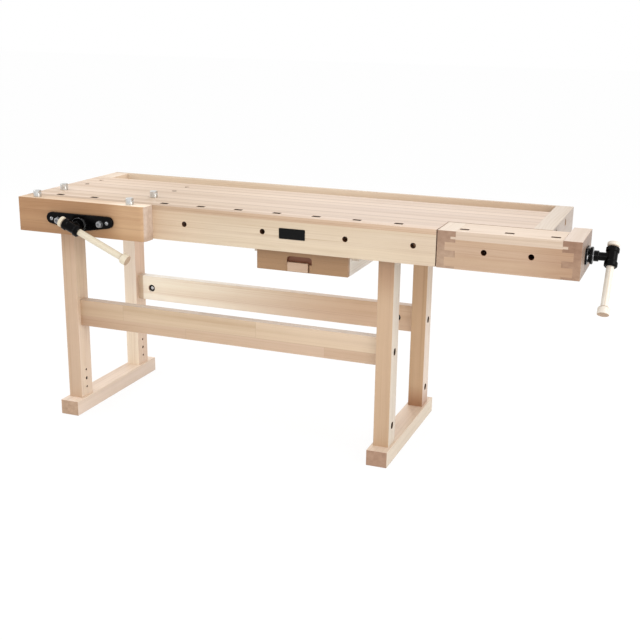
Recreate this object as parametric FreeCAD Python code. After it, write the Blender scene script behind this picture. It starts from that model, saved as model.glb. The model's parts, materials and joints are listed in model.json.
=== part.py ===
import FreeCAD, Part
import math
import os

# Woodworking bench: a laminated top with a tool tray at its back, on two trestles
# joined by stretchers, with a front vise, an L-shaped tail vise, steel bench dogs
# and a drawer.  Millimetres, +Z up, +X along the bench, the user stands at -Y.
# The origin is on the floor, under the middle of the whole bench.

# ---------------------------------------------------------------- bench top
top_height = 888.0
bench_depth = 640.0
slab_thickness = 50.0
edge_ease = 1.5
slide_gap = 0.3
over = 1.0
apron_length = 1612.0
apron_thickness = 36.0
apron_depth = 126.0
apron_cap_height = 18.0
dog_strip_width = 21.0
dog_hole_width = 25.0
dog_hole_pitch = 150.0
dog_hole_first = 113.6
dog_head_room = 6.0
dog_head_drop = 22.0
side_hole_radius = 10.0
side_hole_drop = 61.0
side_hole_pitch = 309.5
side_hole_end_setback = 79.5
side_hole_end_gap = 242.0
side_hole_row_count = 3
tray_width = 130.0
tray_end_length = 64.0
tray_panel_thickness = 12.0
tray_panel_tongue = 6.0
back_rail_thickness = 20.0
back_rail_height = 100.0
end_cap_thickness = 64.0
end_cap_outer = 1967.0
tail_notch_depth = 155.0
badge_setback = 1045.0
badge_width = 98.0
badge_height = 38.0
badge_thickness = 1.6
badge_drop = 42.0
badge_corner = 3.0

# round holes and steel dogs
round_hole_radius = 10.0
dog_column_first = 65.0
dog_column_spacing = 400.0
top_dog_back = 146.0
round_hole_back = 306.0
round_hole_tray_setback = 78.0
chop_dog_front = 29.0
dog_shank_clearance = 0.08
dog_shank_length = 92.0
dog_head_radius = 15.0
dog_head_height = 24.0
dog_flat_depth = 3.0

# bolts that hold the end cap to the slab
cap_bolt_first_back = 232.0
cap_bolt_tray_setback = 48.0
cap_bolt_radius = 5.0
cap_bolt_length = 128.0
cap_bolt_head_radius = 10.0
cap_bolt_head_height = 8.0
cap_counterbore_radius = 14.5
cap_counterbore_depth = 20.0
cap_nut_radius = 9.0
cap_nut_setback = 48.0
bolt_hole_slack = 0.5

# ---------------------------------------------------------------- trestles
trestle_setback = 127.4
trestle_spacing = 1296.6
foot_width = 78.0
foot_setback = 11.0
foot_height = 59.5
leg_width = 58.5
leg_depth = 76.4
leg_setback = 47.6
top_rail_height = 60.0
tenon_width = 26.0
tenon_depth = 50.0
tenon_length = 32.0
tenon_end_gap = 1.0
stretcher_thickness = 38.0
stretcher_height = 105.0
stretcher_centre = 414.0
low_stretcher_centre = 133.0
bed_bolt_radius = 6.0
bed_bolt_head_radius = 12.0
bed_bolt_head_height = 8.0
bed_bolt_counterbore_radius = 13.5
bed_bolt_counterbore_depth = 12.0
bed_bolt_tip = 12.0
cross_nut_setback = 65.0
cross_nut_radius = 15.0
cross_nut_slack = 0.4
cross_nut_end_gap = 2.0
cross_nut_pocket_floor = 6.0
dowel_radius = 5.0
dowel_spacing = 73.0
dowel_half_length = 24.0
top_bolt_radius = 5.0
top_bolt_back = 150.0
top_bolt_tray_setback = 24.0
top_bolt_reach = 34.0
top_bolt_head_radius = 9.0
top_bolt_head_height = 7.0

# ---------------------------------------------------------------- front vise
chop_length = 541.0
chop_thickness = 58.2
chop_height = 129.0
chop_corner = 22.0
jaw_gap = 0.3
front_screw_drop = 86.0
front_screw_radius = 12.0
front_screw_tail = 250.0
guide_rod_radius = 12.5
guide_rod_spacing = 180.0
guide_rod_drop = 75.0
guide_rod_tail = 274.0
running_clearance = 0.06
rod_hole_slack = 1.5
plate_end_radius = 21.7
plate_half_length = 142.0
plate_top_drop = 46.0
plate_belly_radius = 36.0
plate_belly_drop = 74.0
plate_thickness = 12.0
plate_edge_round = 3.0
plate_boss_radius = 28.0
plate_boss_height = 6.0
rod_bolt_head_radius = 12.5
rod_bolt_head_height = 12.0
rod_bolt_head_chamfer = 1.75
rod_bolt_radius = 6.0
rod_bolt_length = 34.0
rod_bolt_socket_radius = 5.0
rod_bolt_socket_depth = 6.0
plate_screw_half_spacing = 119.0
plate_screw_drop = 70.0
plate_screw_head_radius = 7.0
plate_screw_head_height = 3.5
plate_screw_head_round = 1.75
plate_screw_radius = 4.0
plate_screw_length = 40.0
snap_ring_radius = 19.0
snap_ring_thickness = 4.0
snap_ring_slack = 3.0
tie_half_length = 108.0
tie_height = 34.0
tie_thickness = 10.0
tie_setback = 12.0
bracket_half_length = 118.0
bracket_drop = 9.0
bracket_height = 46.0
bracket_thickness = 12.0
bracket_rod_boss_radius = 19.0
bracket_rod_boss_length = 40.0
bracket_nut_boss_radius = 23.0
bracket_nut_boss_length = 48.0
bracket_screw_half_spacing = 48.0
bracket_screw_spacing = 30.0
bracket_screw_radius = 4.0
bracket_screw_length = 26.0
bracket_screw_head_radius = 7.5
bracket_screw_head_height = 5.0

# ---------------------------------------------------------------- screw hubs and handles
hub_lip_radius = 22.0
hub_lip_width = 16.0
hub_waist_radius = 18.5
hub_tube_length = 70.0
hub_neck_radius = 14.0
hub_collar_radius = 18.0
hub_collar_length = 15.0
hub_socket_depth = 22.0
handle_radius = 12.6
handle_slack = 0.3
handle_chamfer = 1.0
knob_radius = 20.0
upper_knob_length = 16.0
lower_knob_length = 27.0
knob_shoulder = 5.0
knob_round = 2.5
front_hub_standoff = 59.5
front_handle_length = 304.0
front_handle_slope = 24.0
tail_hub_standoff = 81.0
tail_handle_length = 253.0
tail_handle_lean = 36.0

# ---------------------------------------------------------------- tail vise
tail_gap = 2.0
tail_length = 471.0
tail_height = 127.0
tail_jaw_length = 62.0
tail_block_length = 61.0
tail_width = 150.0
tail_block_depth = 238.0
plank_thickness = 28.0
plank_tongue_height = 8.0
plank_tongue_lift = 1.0
plank_tongue_length = 17.0
front_board_thickness = 78.0
finger_length = 36.0
upper_finger_drop = 38.0
upper_finger_height = 28.0
lower_finger_drop = 88.0
lower_finger_height = 30.0
tail_dog_first = 83.4
tail_dog_last = 87.6
tail_dog_back = 35.0
tail_dog_depth = 20.0
tail_dog_count = 3
tail_side_hole_setback = 158.0
tail_side_hole_drop = 63.0
tail_screw_back = 120.0
tail_screw_drop = 65.0
tail_screw_radius = 12.7
tail_screw_start = 88.0
cap_nose_front = 82.0
cap_nose_drop = 33.0
nut_barrel_radius = 19.0
nut_barrel_length = 52.0
nut_flange_size = 54.0
nut_flange_thickness = 8.0
flange_width = 80.0
flange_height = 54.0
flange_corner = 16.0
flange_thickness = 7.0
flange_neck_radius = 24.0
flange_disc_radius = 29.0
flange_disc_start = 13.0
flange_disc_thickness = 9.0
flange_disc_round = 2.25
flange_screw_half_spacing = 31.0
flange_screw_radius = 4.0
flange_screw_length = 36.0
flange_screw_head_radius = 7.0
flange_screw_head_height = 3.0
tail_collar_gap = 3.0
tail_rod_back = 205.0
tail_rod_drop = 73.0
tail_rod_radius = 10.0
tail_rod_start = -52.0
tail_rod_cover = 15.25
bearing_start = 118.0
bearing_length = 60.0
bearing_width = 44.0
bearing_height = 44.0
guide_rail_front = 157.0
guide_rail_thickness = 22.0
guide_rail_height = 60.0
guide_rail_end_gap = 1.0
guide_groove_drop = 72.0
guide_groove_height = 16.0
guide_groove_depth = 10.0
tongue_inset = 6.0

# ---------------------------------------------------------------- drawer
drawer_leg_gap = 111.75
drawer_width = 350.0
drawer_front_back = 60.0
drawer_depth = 400.0
drawer_height = 82.0
drawer_apron_gap = 3.0
drawer_front_thickness = 18.0
drawer_side_thickness = 12.0
drawer_bottom_thickness = 6.0
drawer_bottom_lift = 8.0
drawer_groove_depth = 5.0
drawer_batten_size = 12.0
drawer_batten_drop = 6.0
runner_web = 15.0
runner_lip = 10.0
runner_start = 100.0
runner_length = 370.0
slot_setback = 117.5
slot_width = 96.0
slot_lift = 30.0
slot_height = 27.0
slot_corner = 13.0
pocket_depth = 12.0
pull_lift = 3.0
pull_setback = 121.0
pull_width = 78.5
pull_side_gap = 4.5
pull_height = 32.5
pull_proud = 5.0
pull_scoop_radius = 9.0

# ---------------------------------------------------------------- places worked out from the sizes
overall_length = apron_length + tail_gap + tail_length + tail_hub_standoff + hub_lip_radius
overall_depth = bench_depth + jaw_gap + chop_thickness + front_hub_standoff + hub_lip_radius
x_left = -overall_length / 2.0
y_front = overall_depth / 2.0 - bench_depth
y_back = y_front + bench_depth
slab_bottom = top_height - slab_thickness
apron_bottom = top_height - apron_depth
x_apron_end = x_left + apron_length
x_cap_end = x_left + end_cap_outer
x_cap = x_cap_end - end_cap_thickness
y_rail = y_back - back_rail_thickness
y_tray = y_rail - tray_width
y_slab = y_front + apron_thickness + dog_strip_width
y_notch = y_front + tail_notch_depth
x_dog_columns = [x_left + dog_column_first + dog_column_spacing * i for i in range(2)]
y_round_holes = [y_front + round_hole_back, y_tray - round_hole_tray_setback]
y_top_dogs = y_front + top_dog_back

x_trestles = [x_left + trestle_setback + trestle_spacing * i for i in range(2)]
y_foot = y_front + foot_setback
foot_length = bench_depth - 2.0 * foot_setback
y_leg_starts = [y_foot + leg_setback, y_foot + foot_length - leg_setback - leg_depth]
y_leg_centres = [y + leg_depth / 2.0 for y in y_leg_starts]
z_rail = slab_bottom - top_rail_height

y_chop_back = y_front - jaw_gap
y_chop_face = y_chop_back - chop_thickness
x_front_screw = x_left + chop_length / 2.0
z_front_screw = top_height - front_screw_drop
z_guide_rods = top_height - guide_rod_drop
y_plate_face = y_chop_face - plate_thickness
y_boss_face = y_plate_face - plate_boss_height
y_front_hub = y_chop_face - front_hub_standoff
y_bracket = y_front + apron_thickness
z_chop = top_height - chop_height
y_chop_dogs = y_front - chop_dog_front

x_jaw = x_apron_end + tail_gap
x_jaw_inner = x_jaw + tail_jaw_length
x_tail_face = x_jaw + tail_length
x_block = x_tail_face - tail_block_length
z_tail = top_height - tail_height
z_plank = top_height - plank_thickness
y_tail_screw = y_front + tail_screw_back
z_tail_screw = top_height - tail_screw_drop
x_tail_hub = x_tail_face + tail_hub_standoff
y_tail_rod = y_front + tail_rod_back
z_tail_rod = top_height - tail_rod_drop
tail_dog_pitch = (tail_length - tail_dog_first - tail_dog_last) / (tail_dog_count - 1)
x_tail_dogs = [x_jaw + tail_dog_first + tail_dog_pitch * i for i in range(tail_dog_count)]
x_tail_side_holes = [x_jaw + tail_side_hole_setback, x_tail_face - tail_side_hole_setback]
x_disc_face = x_tail_face + flange_disc_start + flange_disc_thickness

x_drawer = x_trestles[1] - leg_width / 2.0 - drawer_leg_gap - drawer_width
y_drawer = y_front + drawer_front_back
z_drawer_top = apron_bottom - drawer_apron_gap
z_drawer = z_drawer_top - drawer_height
z_batten_top = z_drawer_top - drawer_batten_drop
z_batten = z_batten_top - drawer_batten_size

front_handle_axis = FreeCAD.Vector(
    math.cos(math.radians(front_handle_slope)), 0.0, -math.sin(math.radians(front_handle_slope)))
tail_handle_axis = FreeCAD.Vector(
    0.0, -math.sin(math.radians(tail_handle_lean)), -math.cos(math.radians(tail_handle_lean)))


# ---------------------------------------------------------------- shapes in common
def box(x0, x1, y0, y1, z0, z1):
    """A block between two corners."""
    return Part.makeBox(x1 - x0, y1 - y0, z1 - z0, FreeCAD.Vector(x0, y0, z0))


def round_x(radius, x0, x1, y, z):
    """A cylinder along X."""
    return Part.makeCylinder(radius, x1 - x0, FreeCAD.Vector(x0, y, z), FreeCAD.Vector(1, 0, 0))


def round_y(radius, y0, y1, x, z):
    """A cylinder along Y."""
    return Part.makeCylinder(radius, y1 - y0, FreeCAD.Vector(x, y0, z), FreeCAD.Vector(0, 1, 0))


def round_z(radius, z0, z1, x, y):
    """A cylinder along Z."""
    return Part.makeCylinder(radius, z1 - z0, FreeCAD.Vector(x, y, z0), FreeCAD.Vector(0, 0, 1))


def edges_at(shape, places):
    """The straight edges that lie wholly at any of the (axis, value) places."""
    found = []
    for edge in shape.Edges:
        bound = edge.BoundBox
        low = (bound.XMin, bound.YMin, bound.ZMin)
        high = (bound.XMax, bound.YMax, bound.ZMax)
        for axis, value in places:
            if abs(low[axis] - value) < 0.01 and abs(high[axis] - value) < 0.01:
                found.append(edge)
                break
    return found


def eased(shape, *places):
    """The shape with its sharp edges at the given places sanded round, or all of them."""
    edges = edges_at(shape, places) if places else shape.Edges
    return shape.makeFillet(edge_ease, edges)


def board(x0, x1, y0, y1, z0, z1):
    """A planed board with every edge sanded round."""
    return eased(box(x0, x1, y0, y1, z0, z1))


def cut_all(shape, cutters):
    """The shape less each of the cutters."""
    for cutter in cutters:
        shape = shape.cut(cutter)
    return shape


def group(solids):
    """Separate solids that share one node."""
    return Part.makeCompound(solids)


def export(name, shape):
    """Writes one node."""
    shape.exportStep("parts/" + name + ".step")


# ---------------------------------------------------------------- bench top
def side_hole_places():
    """X of the round holes through the apron, from the right end to the left."""
    last = x_apron_end - side_hole_end_setback
    row = last - side_hole_end_gap
    return [last] + [row - side_hole_pitch * i for i in range(side_hole_row_count)]


def dog_hole_places():
    """X of the square dog holes along the front edge of the top."""
    count = int((apron_length - dog_hole_first - dog_hole_width) // dog_hole_pitch) + 1
    return [x_left + dog_hole_first + dog_hole_pitch * i for i in range(count)]


def bracket_screw_places():
    """X and Z of the screws that hold the front vise's nut bracket to the apron."""
    z_middle = bracket_middle()
    return [(x_front_screw + side * bracket_screw_half_spacing, z_middle + up * bracket_screw_spacing / 2.0)
            for side in (-1, 1) for up in (-1, 1)]


def bracket_middle():
    """Height of the middle of the nut bracket's plate, clear of the slab."""
    return slab_bottom - bracket_drop - bracket_height / 2.0


def make_apron():
    """The deep front board, bored for pegs and for the front vise."""
    y1 = y_front + apron_thickness
    shape = box(x_left, x_apron_end, y_front, y1, apron_bottom, top_height - apron_cap_height)
    shape = eased(shape, (2, apron_bottom))
    cutters = [round_y(side_hole_radius, y_front - over, y1 + over, x, top_height - side_hole_drop)
               for x in side_hole_places()]
    for side in (-1, 1):
        x = x_front_screw + side * guide_rod_spacing / 2.0
        cutters.append(round_y(guide_rod_radius + rod_hole_slack, y_front - over, y1 + over, x, z_guide_rods))
    cutters.append(round_y(front_screw_radius + rod_hole_slack, y_front - over, y1 + over,
                           x_front_screw, z_front_screw))
    tip = y1 + bracket_thickness - bracket_screw_length
    for x, z in bracket_screw_places():
        cutters.append(round_y(bracket_screw_radius, tip, y1 + over, x, z))
    return cut_all(shape, cutters)


def make_apron_cap():
    """The strip glued along the top of the apron, flush with the work surface."""
    z0 = top_height - apron_cap_height
    shape = box(x_left, x_apron_end, y_front, y_front + apron_thickness, z0, top_height)
    return shape.makeFillet(edge_ease, [edge for edge in edges_at(shape, [(1, y_front)])
                                        if edge.BoundBox.ZMin > z0 + edge_ease])


def make_dog_strip():
    """The blocks between apron and slab; their gaps are the dog holes, wider on top for the heads."""
    y0 = y_front + apron_thickness
    half = dog_hole_width / 2.0
    blocks = [box(x_left, dog_hole_places()[0] - half, y0, y_slab, slab_bottom, top_height)]
    starts = [x + half for x in dog_hole_places()]
    ends = [x - half for x in dog_hole_places()[1:]] + [x_apron_end]
    for start, end in zip(starts, ends):
        block = box(start, end, y0, y_slab, slab_bottom, top_height)
        blocks.append(block.cut(box(start - over, start + dog_head_room, y0 - over, y_slab + over,
                                    top_height - dog_head_drop, top_height + over)))
    return group(blocks)


def make_slab():
    """The laminated work surface, notched for the tail vise and rabbeted for the tray."""
    shape = box(x_left, x_cap, y_slab, y_tray, slab_bottom, top_height)
    shape = shape.cut(box(x_apron_end, x_cap + over, y_slab - over, y_notch, slab_bottom - over,
                          top_height + over))
    shape = shape.cut(box(x_left + tray_end_length, x_cap + over, y_tray - tray_panel_tongue, y_tray + over,
                          slab_bottom - over, slab_bottom + tray_panel_thickness))
    shape = shape.makeFillet(edge_ease, [edge for edge in edges_at(shape, [(1, y_tray)])
                                         if edge.BoundBox.ZMin > top_height - 0.01])
    cutters = [round_z(round_hole_radius, slab_bottom - over, top_height + over, x, y)
               for x in x_dog_columns for y in [y_top_dogs] + y_round_holes]
    for y in cap_bolt_places():
        cutters.append(round_x(cap_bolt_radius + bolt_hole_slack, cap_bolt_tip(), x_cap + over, y,
                               cap_bolt_height()))
        cutters.append(round_z(cap_nut_radius, slab_bottom - over, cap_nut_top(), x_cap - cap_nut_setback, y))
    for x in x_trestles:
        for y in top_bolt_places():
            cutters.append(round_z(top_bolt_radius, slab_bottom - over, slab_bottom + top_bolt_reach, x, y))
    return cut_all(shape, cutters)


def make_tray_bottom():
    """The plywood floor of the tool tray, let into the slab and the back rail."""
    return box(x_left + tray_end_length, x_cap, y_tray - tray_panel_tongue, y_rail + tray_panel_tongue,
               slab_bottom, slab_bottom + tray_panel_thickness)


def make_back_rail():
    """The rail along the back, with a groove for the tray's floor."""
    z0 = top_height - back_rail_height
    shape = box(x_left, x_cap, y_rail, y_back, z0, top_height)
    shape = eased(shape, (1, y_back), (2, z0))
    shape = shape.makeFillet(edge_ease, [edge for edge in edges_at(shape, [(1, y_rail)])
                                         if edge.BoundBox.ZMin > top_height - 0.01])
    return shape.cut(box(x_left + tray_end_length, x_cap + over, y_rail - over, y_rail + tray_panel_tongue,
                         slab_bottom, slab_bottom + tray_panel_thickness))


def make_tray_end_block():
    """The block that closes the tray at the left end."""
    shape = box(x_left, x_left + tray_end_length, y_tray, y_rail, slab_bottom, top_height)
    return eased(shape, (0, x_left + tray_end_length))


def cap_bolt_places():
    """Y of the bolts through the end cap."""
    return [y_front + cap_bolt_first_back, y_tray - cap_bolt_tray_setback]


def cap_bolt_height():
    """The end cap's bolts run in the middle of the slab."""
    return top_height - slab_thickness / 2.0


def cap_bolt_seat():
    """X of the face that the heads of the end cap's bolts bear on."""
    return x_cap_end - cap_counterbore_depth


def cap_bolt_tip():
    """X of the ends of the end cap's bolts, inside the slab."""
    return cap_bolt_seat() - cap_bolt_length


def cap_nut_top():
    """Top of the barrel nuts, above the bolts they take."""
    return cap_bolt_height() + cap_nut_radius


def make_end_cap():
    """The board across the right end, with a nose that carries the tail vise's nut."""
    shape = box(x_cap, x_cap_end, y_notch, y_back, apron_bottom, top_height)
    nose = box(x_cap, x_cap_end, y_front + cap_nose_front, y_notch, apron_bottom, top_height - cap_nose_drop)
    shape = shape.fuse(nose).removeSplitter()
    shape = eased(shape, (0, x_cap_end))
    cutters = []
    for y in cap_bolt_places():
        cutters.append(round_x(cap_bolt_radius + bolt_hole_slack, x_cap - over, x_cap_end + over, y,
                               cap_bolt_height()))
        cutters.append(round_x(cap_counterbore_radius, cap_bolt_seat(), x_cap_end + over, y,
                               cap_bolt_height()))
    cutters.append(round_x(nut_barrel_radius, x_cap - over, x_cap + nut_barrel_length, y_tail_screw,
                           z_tail_screw))
    cutters.append(round_x(tail_screw_radius + rod_hole_slack, x_cap - over, x_cap_end + over, y_tail_screw,
                           z_tail_screw))
    cutters.append(round_x(tail_rod_radius + running_clearance, x_cap - over, x_cap_end + over, y_tail_rod,
                           z_tail_rod))
    return cut_all(shape, cutters)


def make_cap_bolts():
    """Hexagon bolts, sunk in the end cap, that draw it against the slab."""
    bolts = []
    for y in cap_bolt_places():
        head = hexagon_x(cap_bolt_head_radius, cap_bolt_seat(), cap_bolt_head_height, y, cap_bolt_height())
        shank = round_x(cap_bolt_radius, cap_bolt_tip(), cap_bolt_seat(), y, cap_bolt_height())
        bolts.append(head.fuse(shank))
    return group(bolts)


def hexagon_x(radius, x0, height, y, z):
    """A hexagon bolt head whose axis lies along X."""
    points = []
    for i in range(7):
        angle = math.radians(60.0 * i)
        points.append(FreeCAD.Vector(x0, y + radius * math.cos(angle), z + radius * math.sin(angle)))
    face = Part.Face(Part.makePolygon(points))
    return face.extrude(FreeCAD.Vector(height, 0, 0))


def make_badge():
    """The bare plate on the front of the apron."""
    x0 = x_left + badge_setback
    z1 = top_height - badge_drop
    shape = box(x0, x0 + badge_width, y_front - badge_thickness, y_front, z1 - badge_height, z1)
    corners = [edge for edge in shape.Edges if abs(edge.BoundBox.YLength - badge_thickness) < 0.01]
    return shape.makeFillet(badge_corner, corners)


# ---------------------------------------------------------------- trestles
def stretcher_bolt_sides():
    """Each trestle with the side its stretchers leave from."""
    return [(x_trestles[0], 1), (x_trestles[1], -1)]


def dowel_heights(centre):
    """Z of the two dowels beside a bolt."""
    return [centre - dowel_spacing / 2.0, centre + dowel_spacing / 2.0]


def make_foot(x):
    """A foot on the floor, mortised for its two legs."""
    shape = board(x - foot_width / 2.0, x + foot_width / 2.0, y_foot, y_foot + foot_length, 0.0, foot_height)
    return cut_all(shape, [tenon(x, y, foot_height - tenon_length, foot_height + over)
                           for y in y_leg_centres])


def tenon(x, y, z0, z1):
    """The block of a tenon, or of its mortise."""
    half_x = tenon_width / 2.0
    half_y = tenon_depth / 2.0
    return box(x - half_x, x + half_x, y - half_y, y + half_y, z0, z1)


def make_leg(x, side, y):
    """A leg, tenoned at both ends and bored for the stretcher at two heights."""
    half_x = leg_width / 2.0
    half_y = leg_depth / 2.0
    shape = box(x - half_x, x + half_x, y - half_y, y + half_y, foot_height, z_rail)
    shape = shape.makeFillet(edge_ease, [edge for edge in shape.Edges
                                         if edge.BoundBox.ZLength > z_rail - foot_height - over])
    low = foot_height - tenon_length + tenon_end_gap
    high = z_rail + tenon_length - tenon_end_gap
    shape = shape.fuse(tenon(x, y, low, foot_height)).fuse(tenon(x, y, z_rail, high))
    cutters = []
    inner = x + side * half_x
    outer = x - side * half_x
    for z in (stretcher_centre, low_stretcher_centre):
        cutters.append(round_x(bed_bolt_radius + bolt_hole_slack, x - half_x - over, x + half_x + over, y, z))
        start = outer if side > 0 else outer - bed_bolt_counterbore_depth
        cutters.append(round_x(bed_bolt_counterbore_radius, start, start + bed_bolt_counterbore_depth, y, z))
        for dowel_z in dowel_heights(z):
            start = inner - dowel_half_length if side > 0 else inner
            cutters.append(round_x(dowel_radius, start, start + dowel_half_length, y, dowel_z))
    return cut_all(shape, cutters)


def top_bolt_places():
    """Y of the bolts that hold the top down on each trestle."""
    return [y_foot + top_bolt_back, y_tray - top_bolt_tray_setback]


def make_top_rails():
    """The rails across the tops of the legs, which carry the bench top."""
    rails = []
    for x in x_trestles:
        half_x = leg_width / 2.0
        y0 = y_leg_starts[0]
        y1 = y_leg_starts[1] + leg_depth
        shape = eased(box(x - half_x, x + half_x, y0, y1, z_rail, slab_bottom), (1, y0), (1, y1))
        cutters = [tenon(x, y, z_rail - over, z_rail + tenon_length) for y in y_leg_centres]
        for y in top_bolt_places():
            cutters.append(round_z(top_bolt_radius, z_rail - over, slab_bottom + over, x, y))
        rails.append(cut_all(shape, cutters))
    return group(rails)


def make_top_bolts():
    """The bolts up through the top rails into the slab."""
    bolts = []
    for x in x_trestles:
        for y in top_bolt_places():
            shank = round_z(top_bolt_radius, z_rail, slab_bottom + top_bolt_reach, x, y)
            head = round_z(top_bolt_head_radius, z_rail - top_bolt_head_height, z_rail, x, y)
            bolts.append(shank.fuse(head))
    return group(bolts)


def cross_nut_centres():
    """X of the cross nuts near each end of a stretcher."""
    return [x + side * (leg_width / 2.0 + cross_nut_setback) for x, side in stretcher_bolt_sides()]


def make_stretcher(y, inner_side):
    """A stretcher between the trestles, pocketed for its cross nuts on the inner face."""
    half_y = stretcher_thickness / 2.0
    half_z = stretcher_height / 2.0
    x0 = x_trestles[0] + leg_width / 2.0
    x1 = x_trestles[1] - leg_width / 2.0
    shape = box(x0, x1, y - half_y, y + half_y, stretcher_centre - half_z, stretcher_centre + half_z)
    shape = shape.makeFillet(edge_ease, [edge for edge in shape.Edges
                                         if edge.BoundBox.XLength > x1 - x0 - over])
    cutters = []
    start = y - half_y + cross_nut_pocket_floor if inner_side > 0 else y - half_y - over
    end = y + half_y + over if inner_side > 0 else y + half_y - cross_nut_pocket_floor
    for x in cross_nut_centres():
        cutters.append(round_y(cross_nut_radius + cross_nut_slack, start, end, x, stretcher_centre))
    for x, side in stretcher_bolt_sides():
        face = x + side * leg_width / 2.0
        tip = face + side * (cross_nut_setback + bed_bolt_tip)
        low = min(face, tip) - (1 if side > 0 else 0)
        high = max(face, tip) + (1 if side < 0 else 0)
        cutters.append(round_x(bed_bolt_radius + bolt_hole_slack, low, high, y, stretcher_centre))
        for z in dowel_heights(stretcher_centre):
            low = min(face, face + side * dowel_half_length)
            cutters.append(round_x(dowel_radius, low, low + dowel_half_length, y, z))
    return cut_all(shape, cutters)


def make_stretcher_bolts():
    """The bed bolts, one at each end of each stretcher."""
    bolts = []
    for x, side in stretcher_bolt_sides():
        seat = x - side * (leg_width / 2.0 - bed_bolt_counterbore_depth)
        tip = x + side * (leg_width / 2.0 + cross_nut_setback + bed_bolt_tip)
        head = min(seat, seat - side * bed_bolt_head_height)
        for y in y_leg_centres:
            shank = round_x(bed_bolt_radius, min(seat, tip), max(seat, tip), y, stretcher_centre)
            bolts.append(shank.fuse(round_x(bed_bolt_head_radius, head, head + bed_bolt_head_height, y,
                                            stretcher_centre)))
    return group(bolts)


def make_cross_nuts():
    """The barrel nuts: in the stretchers for the bed bolts, in the slab for the end cap."""
    nuts = []
    half_y = stretcher_thickness / 2.0
    for x in cross_nut_centres():
        for y, inner_side in zip(y_leg_centres, (1, -1)):
            low = y - half_y + (cross_nut_pocket_floor if inner_side > 0 else cross_nut_end_gap)
            high = y + half_y - (cross_nut_end_gap if inner_side > 0 else cross_nut_pocket_floor)
            nut = round_y(cross_nut_radius, low, high, x, stretcher_centre)
            nuts.append(nut.cut(round_x(bed_bolt_radius, x - cross_nut_setback, x + cross_nut_setback, y,
                                        stretcher_centre)))
    for y in cap_bolt_places():
        nut = round_z(cap_nut_radius, slab_bottom, cap_nut_top(), x_cap - cap_nut_setback, y)
        nuts.append(nut.cut(round_x(cap_bolt_radius, cap_bolt_tip(), x_cap, y, cap_bolt_height())))
    return group(nuts)


def make_stretcher_dowels():
    """The dowels that stop the stretchers from turning on their bolts."""
    dowels = []
    for x, side in stretcher_bolt_sides():
        face = x + side * leg_width / 2.0
        for y in y_leg_centres:
            for z in dowel_heights(stretcher_centre):
                dowels.append(round_x(dowel_radius, face - dowel_half_length, face + dowel_half_length, y, z))
    return group(dowels)


# ---------------------------------------------------------------- front vise
def guide_rod_places():
    """X of the two guide rods."""
    return [x_front_screw + side * guide_rod_spacing / 2.0 for side in (-1, 1)]


def plate_screw_places():
    """X of the two screws at the ends of the vise plate."""
    return [x_front_screw + side * plate_screw_half_spacing for side in (-1, 1)]


def make_chop():
    """The thick wooden jaw of the front vise."""
    shape = box(x_left, x_left + chop_length, y_chop_face, y_chop_back, z_chop, top_height)
    corner = [edge for edge in edges_at(shape, [(0, x_left + chop_length)])
              if edge.BoundBox.ZLength > chop_height - over and edge.BoundBox.YMax < y_chop_back - over]
    shape = shape.makeFillet(chop_corner, corner)
    shape = shape.makeFillet(edge_ease, edges_at(shape, [(2, top_height), (2, z_chop)]))
    cutters = []
    for x in x_dog_columns:
        cutters.append(round_z(round_hole_radius, z_chop - over, top_height + over, x, y_chop_dogs))
    for x in guide_rod_places():
        cutters.append(round_y(guide_rod_radius, y_chop_face - over, y_chop_back + over, x, z_guide_rods))
    cutters.append(round_y(front_screw_radius + rod_hole_slack, y_chop_face - over, y_chop_back + over,
                           x_front_screw, z_front_screw))
    cutters.append(round_y(snap_ring_radius + snap_ring_slack, y_chop_face - over,
                           y_chop_face + snap_ring_thickness + snap_ring_slack, x_front_screw, z_front_screw))
    for x in plate_screw_places():
        tip = y_plate_face + plate_screw_length
        cutters.append(round_y(plate_screw_radius, y_chop_face - over, tip, x, top_height - plate_screw_drop))
    return cut_all(shape, cutters)


def tangent_points(centre_a, radius_a, centre_b, radius_b):
    """The points where the line below two circles touches each, in the X-Z plane."""
    dx = centre_b[0] - centre_a[0]
    dz = centre_b[1] - centre_a[1]
    distance = math.hypot(dx, dz)
    along = math.atan2(dz, dx)
    lean = math.asin((radius_a - radius_b) / distance)
    normal = along + lean - math.pi / 2.0
    step = (math.cos(normal), math.sin(normal))
    point_a = (centre_a[0] + radius_a * step[0], centre_a[1] + radius_a * step[1])
    point_b = (centre_b[0] + radius_b * step[0], centre_b[1] + radius_b * step[1])
    return point_a, point_b


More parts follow.
